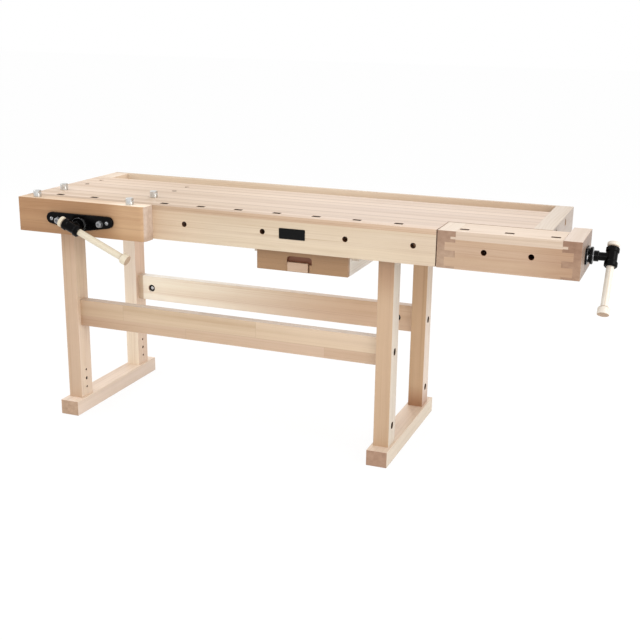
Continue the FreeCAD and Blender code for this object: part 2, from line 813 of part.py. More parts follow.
def make_front_plate():
    """The cast plate on the chop: straight above, round at its ends, deeper at its middle."""
    z_top = top_height - plate_top_drop
    end_offset = plate_half_length - plate_end_radius
    left_end = (x_front_screw - end_offset, z_top - plate_end_radius)
    right_end = (x_front_screw + end_offset, z_top - plate_end_radius)
    belly = (x_front_screw, top_height - plate_belly_drop)
    left_low, belly_left = tangent_points(left_end, plate_end_radius, belly, plate_belly_radius)
    belly_right, right_low = tangent_points(belly, plate_belly_radius, right_end, plate_end_radius)

    def at(x, z):
        return FreeCAD.Vector(x, y_plate_face, z)

    top_left = at(left_end[0], z_top)
    top_right = at(right_end[0], z_top)
    left_tip = at(left_end[0] - plate_end_radius, left_end[1])
    right_tip = at(right_end[0] + plate_end_radius, right_end[1])
    belly_tip = at(belly[0], belly[1] - plate_belly_radius)
    edges = [
        Part.LineSegment(top_left, top_right).toShape(),
        Part.Arc(top_right, right_tip, at(*right_low)).toShape(),
        Part.LineSegment(at(*right_low), at(*belly_right)).toShape(),
        Part.Arc(at(*belly_right), belly_tip, at(*belly_left)).toShape(),
        Part.LineSegment(at(*belly_left), at(*left_low)).toShape(),
        Part.Arc(at(*left_low), left_tip, top_left).toShape(),
    ]
    shape = Part.Face(Part.Wire(edges)).extrude(FreeCAD.Vector(0, plate_thickness, 0))
    shape = shape.makeFillet(plate_edge_round, edges_at(shape, [(1, y_plate_face)]))
    shape = shape.fuse(round_y(plate_boss_radius, y_boss_face, y_plate_face + plate_edge_round,
                               x_front_screw, z_front_screw))
    cutters = [round_y(front_screw_radius + running_clearance, y_boss_face - over, y_chop_face + over,
                       x_front_screw, z_front_screw)]
    for x in guide_rod_places():
        cutters.append(round_y(rod_bolt_radius, y_plate_face - over, y_chop_face + over, x, z_guide_rods))
    for x in plate_screw_places():
        cutters.append(round_y(plate_screw_radius, y_plate_face - over, y_chop_face + over, x,
                               top_height - plate_screw_drop))
    return cut_all(shape, cutters)


def make_plate_bolts():
    """The bolts into the guide rods and the screws into the chop, through the plate."""
    bolts = []
    for x in guide_rod_places():
        y0 = y_plate_face - rod_bolt_head_height
        head = round_y(rod_bolt_head_radius, y0, y_plate_face, x, z_guide_rods)
        head = head.makeChamfer(rod_bolt_head_chamfer, edges_at(head, [(1, y0)]))
        head = head.cut(round_y(rod_bolt_socket_radius, y0 - over, y0 + rod_bolt_socket_depth, x,
                                z_guide_rods))
        bolts.append(head.fuse(round_y(rod_bolt_radius, y_plate_face, y_plate_face + rod_bolt_length, x,
                                       z_guide_rods)))
    z = top_height - plate_screw_drop
    for x in plate_screw_places():
        y0 = y_plate_face - plate_screw_head_height
        head = round_y(plate_screw_head_radius, y0, y_plate_face, x, z)
        head = head.makeFillet(plate_screw_head_round, edges_at(head, [(1, y0)]))
        shank = round_y(plate_screw_radius, y_plate_face, y_plate_face + plate_screw_length, x, z)
        bolts.append(head.fuse(shank))
    return group(bolts)


def make_guide_rods():
    """The steel rods that carry the chop and keep it square."""
    rods = []
    for x in guide_rod_places():
        rod = round_y(guide_rod_radius, y_chop_face, y_front + guide_rod_tail, x, z_guide_rods)
        rods.append(rod.cut(round_y(rod_bolt_radius, y_chop_face - over, y_plate_face + rod_bolt_length, x,
                                    z_guide_rods)))
    return group(rods)


def make_rod_tie():
    """The flat bar that joins the far ends of the guide rods."""
    y1 = y_front + guide_rod_tail - tie_setback
    z0 = z_guide_rods - tie_height / 2.0
    shape = board(x_front_screw - tie_half_length, x_front_screw + tie_half_length, y1 - tie_thickness, y1,
                  z0, z0 + tie_height)
    return cut_all(shape, [round_y(guide_rod_radius, y1 - tie_thickness - over, y1 + over, x, z_guide_rods)
                           for x in guide_rod_places()])


def make_nut_bracket():
    """The casting behind the apron: the front screw's nut and the bosses for its rods."""
    z_middle = bracket_middle()
    y1 = y_bracket + bracket_thickness
    shape = box(x_front_screw - bracket_half_length, x_front_screw + bracket_half_length, y_bracket, y1,
                z_middle - bracket_height / 2.0, z_middle + bracket_height / 2.0)
    for x in guide_rod_places():
        shape = shape.fuse(round_y(bracket_rod_boss_radius, y_bracket, y1 + bracket_rod_boss_length, x,
                                   z_guide_rods))
    shape = shape.fuse(round_y(bracket_nut_boss_radius, y_bracket, y1 + bracket_nut_boss_length,
                               x_front_screw, z_front_screw))
    end = y1 + bracket_nut_boss_length + over
    cutters = [round_y(guide_rod_radius + running_clearance, y_bracket - over, end, x, z_guide_rods)
               for x in guide_rod_places()]
    cutters.append(round_y(front_screw_radius + running_clearance, y_bracket - over, end, x_front_screw,
                           z_front_screw))
    for x, z in bracket_screw_places():
        cutters.append(round_y(bracket_screw_radius, y_bracket - over, y1 + over, x, z))
    return cut_all(shape, cutters)


def make_bracket_screws():
    """The screws that hold the nut bracket to the back of the apron."""
    screws = []
    seat = y_bracket + bracket_thickness
    for x, z in bracket_screw_places():
        head = round_y(bracket_screw_head_radius, seat, seat + bracket_screw_head_height, x, z)
        screws.append(head.fuse(round_y(bracket_screw_radius, seat - bracket_screw_length, seat, x, z)))
    return group(screws)


def make_front_screw():
    """The front vise's screw, up to its hub."""
    return round_y(front_screw_radius, y_boss_face - hub_socket_depth, y_front + front_screw_tail,
                   x_front_screw, z_front_screw)


def make_front_snap_ring():
    """The ring behind the plate that draws the chop back with the screw."""
    y0 = y_chop_face + slide_gap
    ring = round_y(snap_ring_radius, y0, y0 + snap_ring_thickness, x_front_screw, z_front_screw)
    return ring.cut(round_y(front_screw_radius, y0 - over, y0 + snap_ring_thickness + over, x_front_screw,
                            z_front_screw))


# ---------------------------------------------------------------- hubs and handles
def turned(profile, origin, direction):
    """A solid turned from (radius, along) points about a line through the origin point."""
    points = [FreeCAD.Vector(radius, 0, along) for radius, along in profile]
    face = Part.Face(Part.makePolygon(points + [points[0]]))
    solid = face.revolve(FreeCAD.Vector(0, 0, 0), FreeCAD.Vector(0, 0, 1), 360)
    turn = FreeCAD.Rotation(FreeCAD.Vector(0, 0, 1), direction)
    solid.Placement = FreeCAD.Placement(origin, turn)
    return solid


def along(origin, direction, distance):
    """The point at a distance from the origin point in a direction."""
    return origin + direction * distance


def make_hub(centre, handle_axis, screw_axis, reach, screw_radius):
    """The cast T: a lipped tube for the handle, and a necked collar down to the screw."""
    half = hub_tube_length / 2.0
    lip = half - hub_lip_width
    slope = hub_lip_radius - hub_waist_radius
    profile = [
        (0.0, -half), (hub_lip_radius - slope, -half), (hub_lip_radius, -half + slope),
        (hub_lip_radius, -lip), (hub_waist_radius, -lip + slope), (hub_waist_radius, lip - slope),
        (hub_lip_radius, lip), (hub_lip_radius, half - slope), (hub_lip_radius - slope, half), (0.0, half)]
    shape = turned(profile, centre, handle_axis)
    neck = Part.makeCylinder(hub_neck_radius, reach, centre, screw_axis)
    collar_base = along(centre, screw_axis, reach - hub_collar_length)
    collar = Part.makeCylinder(hub_collar_radius, hub_collar_length, collar_base, screw_axis)
    shape = shape.fuse(neck).fuse(collar)
    bore_start = along(centre, handle_axis, -half - over)
    bore_length = hub_tube_length + 2.0 * over
    bore = Part.makeCylinder(handle_radius + handle_slack, bore_length, bore_start, handle_axis)
    socket_start = along(centre, screw_axis, reach - hub_socket_depth)
    socket = Part.makeCylinder(screw_radius, hub_socket_depth + over, socket_start, screw_axis)
    return shape.cut(bore).cut(socket)


def knob_profile(length):
    """Half the outline of a knob, shoulder first."""
    bore = handle_radius
    return [(bore, 0.0), (handle_radius + knob_shoulder / 2.0, 0.0), (knob_radius, knob_shoulder),
            (knob_radius, length - knob_round), (knob_radius - knob_round, length), (bore, length)]


def handle_ends(length):
    """Where a handle's ends lie along its axis while one knob rests on its hub."""
    start = -(hub_tube_length / 2.0 + slide_gap + upper_knob_length)
    return start, start + length


def make_handle(centre, handle_axis, length):
    """The turned bar that slides through a hub."""
    start, end = handle_ends(length)
    shape = Part.makeCylinder(handle_radius, end - start, along(centre, handle_axis, start), handle_axis)
    return shape.makeChamfer(handle_chamfer, [edge for edge in shape.Edges if edge.isClosed()])


def make_knobs(centre, handle_axis, length):
    """The knobs on both ends of a handle."""
    start, end = handle_ends(length)
    upper = turned(knob_profile(upper_knob_length), along(centre, handle_axis, start + upper_knob_length),
                   handle_axis * -1)
    lower = turned(knob_profile(lower_knob_length), along(centre, handle_axis, end - lower_knob_length),
                   handle_axis)
    return group([upper, lower])


def front_hub_centre():
    """Where the front screw's axis meets its handle's axis."""
    return FreeCAD.Vector(x_front_screw, y_front_hub, z_front_screw)


def make_front_hub():
    """The front screw's T."""
    reach = y_boss_face - slide_gap - y_front_hub
    return make_hub(front_hub_centre(), front_handle_axis, FreeCAD.Vector(0, 1, 0), reach, front_screw_radius)


def tail_hub_centre():
    """Where the tail screw's axis meets its handle's axis."""
    return FreeCAD.Vector(x_tail_hub, y_tail_screw, z_tail_screw)


def make_tail_hub():
    """The tail screw's T."""
    reach = x_tail_hub - x_disc_face - tail_collar_gap
    return make_hub(tail_hub_centre(), tail_handle_axis, FreeCAD.Vector(-1, 0, 0), reach, tail_screw_radius)


# ---------------------------------------------------------------- tail vise
def finger_rows():
    """Bottom and top of the joint fingers of the tail vise."""
    upper = top_height - upper_finger_drop
    lower = top_height - lower_finger_drop
    return [(upper - upper_finger_height, upper), (lower - lower_finger_height, lower)]


def tail_fingers(x0, x1):
    """The fingers of the front board that lie between X0 and X1."""
    return [box(x0, x1, y_front, y_front + front_board_thickness, z0, z1) for z0, z1 in finger_rows()]


def jaw_fingers():
    """The front board's fingers in the jaw."""
    return tail_fingers(x_jaw_inner - finger_length, x_jaw_inner)


def block_fingers():
    """The front board's fingers in the end block."""
    return tail_fingers(x_block, x_block + finger_length)


def tail_tongue(x0, x1):
    """The tongue on an end of the top plank."""
    z0 = z_plank + plank_tongue_lift
    return box(x0, x1, y_front, y_front + tail_width, z0, z0 + plank_tongue_height)


def make_tail_jaw():
    """The jaw of the tail vise, which closes against the end of the apron."""
    shape = board(x_jaw, x_jaw_inner, y_front, y_front + tail_width, z_tail, top_height)
    cutters = jaw_fingers()
    cutters.append(tail_tongue(x_jaw_inner - plank_tongue_length, x_jaw_inner + over))
    return cut_all(shape, cutters)


def make_tail_end_block():
    """The right-hand end of the tail vise, which carries its screw and guide rod."""
    shape = board(x_block, x_tail_face, y_front, y_front + tail_block_depth, z_tail, top_height)
    cutters = block_fingers()
    cutters.append(tail_tongue(x_block - over, x_block + plank_tongue_length))
    cutters.append(round_x(tail_screw_radius + rod_hole_slack, x_block - over, x_tail_face + over,
                           y_tail_screw, z_tail_screw))
    cutters.append(round_x(tail_rod_radius, x_block - over, x_tail_face - tail_rod_cover, y_tail_rod,
                           z_tail_rod))
    for y, z in flange_screw_places():
        cutters.append(round_x(flange_screw_radius, x_tail_face + flange_thickness - flange_screw_length,
                               x_tail_face + over, y, z))
    return cut_all(shape, cutters)


def tail_dog_holes(z0, z1):
    """The square dog holes of the tail vise between two heights."""
    half = dog_hole_width / 2.0
    y0 = y_front + tail_dog_back
    return [box(x - half, x + half, y0, y0 + tail_dog_depth, z0, z1) for x in x_tail_dogs]


def tail_head_rooms():
    """What widens the tail vise's dog holes on top for the heads, away from the bench top's."""
    half = dog_hole_width / 2.0
    y0 = y_front + tail_dog_back
    return [box(x - half - dog_head_room, x, y0, y0 + tail_dog_depth,
                top_height - dog_head_drop, top_height + over) for x in x_tail_dogs]


def make_tail_front_board():
    """The front of the tail vise, fingered into its two ends."""
    y1 = y_front + front_board_thickness
    shape = box(x_jaw_inner, x_block, y_front, y1, z_tail, z_plank)
    for finger in jaw_fingers() + block_fingers():
        shape = shape.fuse(finger)
    shape = shape.removeSplitter()
    cutters = tail_dog_holes(z_tail - over, z_plank + over)
    z = top_height - tail_side_hole_drop
    for x in x_tail_side_holes:
        cutters.append(round_y(side_hole_radius, y_front - over, y1 + over, x, z))
    return cut_all(shape, cutters)


def make_tail_top_plank():
    """The top of the tail vise, level with the bench top."""
    shape = box(x_jaw_inner, x_block, y_front, y_front + tail_width, z_plank, top_height)
    shape = shape.makeFillet(edge_ease, [edge for edge in edges_at(shape, [(2, top_height)])
                                         if edge.BoundBox.XLength > over])
    shape = shape.fuse(tail_tongue(x_jaw_inner - plank_tongue_length, x_jaw_inner))
    shape = shape.fuse(tail_tongue(x_block, x_block + plank_tongue_length)).removeSplitter()
    return cut_all(shape, tail_dog_holes(z_plank - over, top_height + over) + tail_head_rooms())


def make_guide_rail():
    """The grooved rail under the slab, from trestle to end cap, that guides the tail vise's jaw."""
    x0 = x_trestles[-1] + leg_width / 2.0 + guide_rail_end_gap
    y0 = y_front + guide_rail_front
    shape = box(x0, x_cap, y0, y0 + guide_rail_thickness, slab_bottom - guide_rail_height, slab_bottom)
    z1 = top_height - guide_groove_drop
    return shape.cut(box(x0 - over, x_cap + over, y0 - over, y0 + guide_groove_depth,
                         z1 - guide_groove_height, z1))


def make_jaw_tongue():
    """The hardwood tongue behind the jaw that runs in the guide rail's groove."""
    z1 = top_height - guide_groove_drop - slide_gap
    z0 = top_height - guide_groove_drop - guide_groove_height + slide_gap
    return box(x_jaw + tongue_inset, x_jaw_inner - tongue_inset, y_front + tail_width,
               y_front + guide_rail_front + guide_groove_depth - slide_gap, z0, z1)


def flange_screw_places():
    """Y and Z of the screws that hold the tail vise's flange."""
    return [(y_tail_screw + side * flange_screw_half_spacing, z_tail_screw) for side in (-1, 1)]


def make_tail_flange():
    """The casting on the right-hand end that the tail screw turns in."""
    shape = box(x_tail_face, x_tail_face + flange_thickness, y_tail_screw - flange_width / 2.0,
                y_tail_screw + flange_width / 2.0, z_tail_screw - flange_height / 2.0,
                z_tail_screw + flange_height / 2.0)
    corners = [edge for edge in shape.Edges if abs(edge.BoundBox.XLength - flange_thickness) < 0.01]
    shape = shape.makeFillet(flange_corner, corners)
    x1 = x_tail_face + flange_disc_start
    shape = shape.fuse(round_x(flange_neck_radius, x_tail_face, x1, y_tail_screw, z_tail_screw))
    disc = round_x(flange_disc_radius, x1, x_disc_face, y_tail_screw, z_tail_screw)
    shape = shape.fuse(disc.makeFillet(flange_disc_round, disc.Edges))
    cutters = [round_x(tail_screw_radius + running_clearance, x_tail_face - over, x_disc_face + over,
                       y_tail_screw, z_tail_screw)]
    for y, z in flange_screw_places():
        cutters.append(round_x(flange_screw_radius, x_tail_face - over, x_tail_face + flange_thickness + over,
                               y, z))
    return cut_all(shape, cutters)


def make_flange_screws():
    """The screws through the flange into the end block."""
    screws = []
    seat = x_tail_face + flange_thickness
    for y, z in flange_screw_places():
        head = round_x(flange_screw_head_radius, seat, seat + flange_screw_head_height, y, z)
        screws.append(head.fuse(round_x(flange_screw_radius, seat - flange_screw_length, seat, y, z)))
    return group(screws)


def make_tail_rod():
    """The steel rod that keeps the tail vise parallel under the slab."""
    return round_x(tail_rod_radius, x_jaw + tail_rod_start, x_tail_face - tail_rod_cover, y_tail_rod,
                   z_tail_rod)


def make_rod_bearing():
    """The block under the slab that the tail vise's rod slides through."""
    x0 = x_jaw + bearing_start
    shape = box(x0, x0 + bearing_length, y_tail_rod - bearing_width / 2.0, y_tail_rod + bearing_width / 2.0,
                slab_bottom - bearing_height, slab_bottom)
    return shape.cut(round_x(tail_rod_radius + running_clearance, x0 - over, x0 + bearing_length + over,
                             y_tail_rod, z_tail_rod))


def make_tail_nut():
    """The flanged nut in the end cap's nose."""
    half = nut_flange_size / 2.0
    shape = box(x_cap - nut_flange_thickness, x_cap, y_tail_screw - half, y_tail_screw + half,
                z_tail_screw - half, z_tail_screw + half)
    shape = shape.fuse(round_x(nut_barrel_radius, x_cap, x_cap + nut_barrel_length, y_tail_screw,
                               z_tail_screw))
    return shape.cut(round_x(tail_screw_radius + running_clearance, x_cap - nut_flange_thickness - over,
                             x_cap + nut_barrel_length + over, y_tail_screw, z_tail_screw))


def make_tail_screw():
    """The tail vise's screw, up to its hub."""
    end = x_disc_face + tail_collar_gap + hub_socket_depth
    return round_x(tail_screw_radius, x_jaw + tail_screw_start, end, y_tail_screw, z_tail_screw)


def make_tail_snap_ring():
    """The ring inside the end block that draws the tail vise back with the screw."""
    x1 = x_block - slide_gap
    ring = round_x(snap_ring_radius, x1 - snap_ring_thickness, x1, y_tail_screw, z_tail_screw)
    return ring.cut(round_x(tail_screw_radius, x1 - snap_ring_thickness - over, x1 + over, y_tail_screw,
                            z_tail_screw))


# ---------------------------------------------------------------- bench dogs
def make_dog(x, y):
    """A round steel dog: a shank in its hole and a head with one flat face."""
    shank = round_z(round_hole_radius - dog_shank_clearance, top_height - dog_shank_length, top_height, x, y)
    head = round_z(dog_head_radius, top_height, top_height + dog_head_height, x, y)
    head = head.makeChamfer(edge_ease, [edge for edge in head.Edges if edge.isClosed()])
    head = head.cut(box(x + dog_head_radius - dog_flat_depth, x + dog_head_radius + over, y - dog_head_radius,
                        y + dog_head_radius, top_height + dog_head_height / 2.0,
                        top_height + dog_head_height + over))
    return shank.fuse(head)


# ---------------------------------------------------------------- drawer
def pull_pocket():
    """The pull's seat, open a little beside it, and the finger slot above it."""
    y1 = y_drawer + pocket_depth
    x0 = x_drawer + slot_setback
    z0 = z_drawer + slot_lift
    z1 = z0 + slot_height
    slot = box(x0, x0 + slot_width, y_drawer - over, y1, z0, z1)
    corners = [edge for edge in edges_at(slot, [(2, z1)]) if edge.BoundBox.XLength < over]
    slot = slot.makeFillet(slot_corner, corners)
    x0 = x_drawer + pull_setback
    x1 = x0 + pull_width + pull_side_gap
    return slot.fuse(box(x0, x1, y_drawer - over, y1, z_drawer + pull_lift, z0 + over))


def make_drawer_front():
    """The front of the drawer, milled for the pull and the fingers."""
    shape = board(x_drawer, x_drawer + drawer_width, y_drawer, y_drawer + drawer_front_thickness, z_drawer,
                  z_drawer_top)
    return shape.cut(pull_pocket())


def make_drawer_box():
    """The drawer's two sides, with the battens it hangs from, and its back."""
    y0 = y_drawer + drawer_front_thickness
    y1 = y_drawer + drawer_depth
    z_groove = z_drawer + drawer_bottom_lift
    solids = []
    for side in (0, 1):
        outer = x_drawer + side * drawer_width
        inner = outer + (1 - 2 * side) * drawer_side_thickness
        wall = box(min(outer, inner), max(outer, inner), y0, y1, z_drawer, z_drawer_top)
        groove = inner - (1 - 2 * side) * drawer_groove_depth
        wall = wall.cut(box(min(inner, groove), max(inner, groove), y0, y1, z_groove,
                            z_groove + drawer_bottom_thickness))
        tip = outer - (1 - 2 * side) * drawer_batten_size
        solids.append(wall.fuse(box(min(outer, tip), max(outer, tip), y0, y1, z_batten, z_batten_top)))
    x0 = x_drawer + drawer_side_thickness
    x1 = x_drawer + drawer_width - drawer_side_thickness
    solids.append(box(x0, x1, y1 - drawer_side_thickness, y1, z_groove + drawer_bottom_thickness,
                      z_drawer_top))
    return group(solids)


def make_drawer_bottom():
    """The drawer's plywood bottom, in the grooves of its sides."""
    inset = drawer_side_thickness - drawer_groove_depth
    z0 = z_drawer + drawer_bottom_lift
    return box(x_drawer + inset, x_drawer + drawer_width - inset, y_drawer + drawer_front_thickness,
               y_drawer + drawer_depth, z0, z0 + drawer_bottom_thickness)


def make_drawer_pull():
    """The block glued in its seat in the front, hollowed above for the fingertips."""
    x0 = x_drawer + pull_setback
    x1 = x0 + pull_width
    y0 = y_drawer - pull_proud
    y1 = y_drawer + pocket_depth
    z0 = z_drawer + pull_lift
    shape = box(x0, x1, y0, y1, z0, z0 + pull_height)
    shape = shape.makeFillet(edge_ease, edges_at(shape, [(1, y0)]))
    return shape.cut(round_x(pull_scoop_radius, x0 - over, x1 + over, y1, z0 + pull_height))


def make_drawer_runners():
    """The two L-shaped runners under the slab that the drawer's battens slide on."""
    runners = []
    for side in (0, 1):
        away = 2 * side - 1
        batten_face = x_drawer + side * drawer_width + away * drawer_batten_size
        web_face = batten_face + away * slide_gap
        web_back = web_face + away * runner_web
        lip_edge = x_drawer + side * drawer_width + away * slide_gap
        y0 = y_front + runner_start
        y1 = y0 + runner_length
        z_lip = z_batten - slide_gap
        web = box(min(web_face, web_back), max(web_face, web_back), y0, y1, z_lip - runner_lip, slab_bottom)
        lip = box(min(lip_edge, web_back), max(lip_edge, web_back), y0, y1, z_lip - runner_lip, z_lip)
        runners.append(web.fuse(lip).removeSplitter())
    return group(runners)


# ---------------------------------------------------------------- the whole bench
def build_top():
    """Writes the pieces of the bench top."""
    export("apron", make_apron())
    export("apron_cap", make_apron_cap())
    export("dog_strip", make_dog_strip())
    export("slab", make_slab())
    export("tray_bottom", make_tray_bottom())
    export("back_rail", make_back_rail())
    export("tray_end_block", make_tray_end_block())
    export("end_cap", make_end_cap())
    export("cap_bolts", make_cap_bolts())
    export("badge_plate", make_badge())


def build_trestles():
    """Writes the two trestles and what joins them."""
    names = ("left", "right")
    for name, (x, side) in zip(names, stretcher_bolt_sides()):
        export("foot_" + name, make_foot(x))
        export("leg_front_" + name, make_leg(x, side, y_leg_centres[0]))
        export("leg_back_" + name, make_leg(x, side, y_leg_centres[1]))
    export("top_rails", make_top_rails())
    export("top_bolts", make_top_bolts())
    export("stretcher_front", make_stretcher(y_leg_centres[0], 1))
    export("stretcher_back", make_stretcher(y_leg_centres[1], -1))
    export("stretcher_bolts", make_stretcher_bolts())
    export("cross_nuts", make_cross_nuts())
    export("stretcher_dowels", make_stretcher_dowels())


def build_front_vise():
    """Writes the front vise."""
    export("front_chop", make_chop())
    export("front_plate", make_front_plate())
    export("plate_bolts", make_plate_bolts())
    export("guide_rods", make_guide_rods())
    export("rod_tie", make_rod_tie())
    export("nut_bracket", make_nut_bracket())
    export("bracket_screws", make_bracket_screws())
    export("front_screw", make_front_screw())
    export("front_snap_ring", make_front_snap_ring())
    export("front_hub", make_front_hub())
    export("front_handle", make_handle(front_hub_centre(), front_handle_axis, front_handle_length))
    export("front_knobs", make_knobs(front_hub_centre(), front_handle_axis, front_handle_length))


def build_tail_vise():
    """Writes the tail vise."""
    export("tail_jaw", make_tail_jaw())
    export("tail_end_block", make_tail_end_block())
    export("tail_front_board", make_tail_front_board())
    export("tail_top_plank", make_tail_top_plank())
    export("jaw_tongue", make_jaw_tongue())
    export("guide_rail", make_guide_rail())
    export("tail_flange", make_tail_flange())
    export("flange_screws", make_flange_screws())
    export("tail_rod", make_tail_rod())
    export("rod_bearing", make_rod_bearing())
    export("tail_nut", make_tail_nut())
    export("tail_screw", make_tail_screw())
    export("tail_snap_ring", make_tail_snap_ring())
    export("tail_hub", make_tail_hub())
    export("tail_handle", make_handle(tail_hub_centre(), tail_handle_axis, tail_handle_length))
    export("tail_knobs", make_knobs(tail_hub_centre(), tail_handle_axis, tail_handle_length))


def build_dogs():
    """Writes the four steel dogs: a pair in the chop and a pair in the slab."""
    for name, x in zip(("left", "right"), x_dog_columns):
        export("dog_chop_" + name, make_dog(x, y_chop_dogs))
        export("dog_top_" + name, make_dog(x, y_top_dogs))


def build_drawer():
    """Writes the drawer and its runners."""
    export("drawer_front", make_drawer_front())
    export("drawer_box", make_drawer_box())
    export("drawer_bottom", make_drawer_bottom())
    export("drawer_pull", make_drawer_pull())
    export("drawer_runners", make_drawer_runners())


os.makedirs("parts", exist_ok=True)
build_top()
build_trestles()
build_front_vise()
build_tail_vise()
build_dogs()
build_drawer()
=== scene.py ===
import json
import logging
import math
from dataclasses import dataclass
from enum import Enum
from typing import Dict, List, Optional, Sequence, Tuple, Union

import bmesh
import bpy
from mathutils import Euler, Matrix, Vector

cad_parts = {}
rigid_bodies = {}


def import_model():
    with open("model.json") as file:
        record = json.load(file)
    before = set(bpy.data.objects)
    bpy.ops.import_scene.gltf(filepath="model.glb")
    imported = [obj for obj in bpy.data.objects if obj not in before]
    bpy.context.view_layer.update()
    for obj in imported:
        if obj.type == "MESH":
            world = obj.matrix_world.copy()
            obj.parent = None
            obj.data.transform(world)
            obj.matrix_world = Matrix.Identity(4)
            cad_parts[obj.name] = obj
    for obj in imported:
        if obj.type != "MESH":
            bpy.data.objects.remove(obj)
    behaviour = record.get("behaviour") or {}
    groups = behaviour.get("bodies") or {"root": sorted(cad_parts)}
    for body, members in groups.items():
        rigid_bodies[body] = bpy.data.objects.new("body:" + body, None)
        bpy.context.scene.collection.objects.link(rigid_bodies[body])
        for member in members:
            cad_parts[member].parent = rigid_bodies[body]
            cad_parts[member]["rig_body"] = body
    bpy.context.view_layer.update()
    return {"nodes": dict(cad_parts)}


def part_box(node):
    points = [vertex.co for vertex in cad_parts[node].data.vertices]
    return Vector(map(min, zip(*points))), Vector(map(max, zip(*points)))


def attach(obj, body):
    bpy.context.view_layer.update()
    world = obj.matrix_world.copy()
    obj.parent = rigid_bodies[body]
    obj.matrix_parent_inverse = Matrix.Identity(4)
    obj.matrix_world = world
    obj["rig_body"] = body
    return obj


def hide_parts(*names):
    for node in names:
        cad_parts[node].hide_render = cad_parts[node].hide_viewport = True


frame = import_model()

log = logging.getLogger("bench")

Colour = Tuple[float, float, float]
Point = Tuple[float, float, float]
Ring = Tuple[float, float]
Number = Union["Value", float, int]
Socket = bpy.types.NodeSocket
Paint = Union[Colour, Socket]
Inputs = Dict[Union[str, int], object]
Mesh = bmesh.types.BMesh

TOP = 0.888
LEFT = -1.094
FRONT = -0.250
APRON_END = 0.518
CAP_START = 0.809
HOLE_RIM = 0.0012
SLOT_RIM = 0.0005
# Painted shade: the dark tone laid on the walls of the dog slots.
SLOT_SHADE: Colour = (0.030, 0.016, 0.009)
WHITE: Colour = (1.0, 1.0, 1.0)


class Axis(Enum):
    """One of the bench's three directions."""

    X = 0
    Y = 1
    Z = 2


# ------------------------------------------------------------------ shader building
class Value:
    """A number socket whose operators add Math nodes."""

    def __init__(self, graph: "Graph", socket: Socket) -> None:
        """Wraps a socket of a graph."""
        self.graph = graph
        self.socket = socket

    def __add__(self, other: Number) -> "Value":
        """Adds a value or a number."""
        return self.graph.math("ADD", self, other)

    def __radd__(self, other: Number) -> "Value":
        """Adds this value to a number."""
        return self.graph.math("ADD", other, self)

    def __sub__(self, other: Number) -> "Value":
        """Takes a value or a number away."""
        return self.graph.math("SUBTRACT", self, other)

    def __rsub__(self, other: Number) -> "Value":
        """Takes this value away from a number."""
        return self.graph.math("SUBTRACT", other, self)

    def __mul__(self, other: Number) -> "Value":
        """Multiplies by a value or a number."""
        return self.graph.math("MULTIPLY", self, other)

    def __rmul__(self, other: Number) -> "Value":
        """Multiplies a number by this value."""
        return self.graph.math("MULTIPLY", other, self)

    def __gt__(self, other: Number) -> "Value":
        """Gives 1 where this value is the larger."""
        return self.graph.math("GREATER_THAN", self, other)

    def __lt__(self, other: Number) -> "Value":
        """Gives 1 where this value is the smaller."""
        return self.graph.math("LESS_THAN", self, other)

    def floor(self) -> "Value":
        """Rounds down."""
        return self.graph.math("FLOOR", self)

    def fraction(self) -> "Value":
        """Keeps what is left after rounding down."""
        return self.graph.math("FRACT", self)

    def size(self) -> "Value":
        """Drops the sign."""
        return self.graph.math("ABSOLUTE", self)

    def root(self) -> "Value":
        """Takes the square root."""
        return self.graph.math("SQRT", self)

    def rise(self, low: float, high: float) -> "Value":
        """Climbs smoothly from 0 at low to 1 at high."""
        inputs = {"Value": self, "From Min": low, "From Max": high}
        node = self.graph.node("ShaderNodeMapRange", {"interpolation_type": "SMOOTHSTEP"}, inputs)
        return Value(self.graph, node.outputs["Result"])


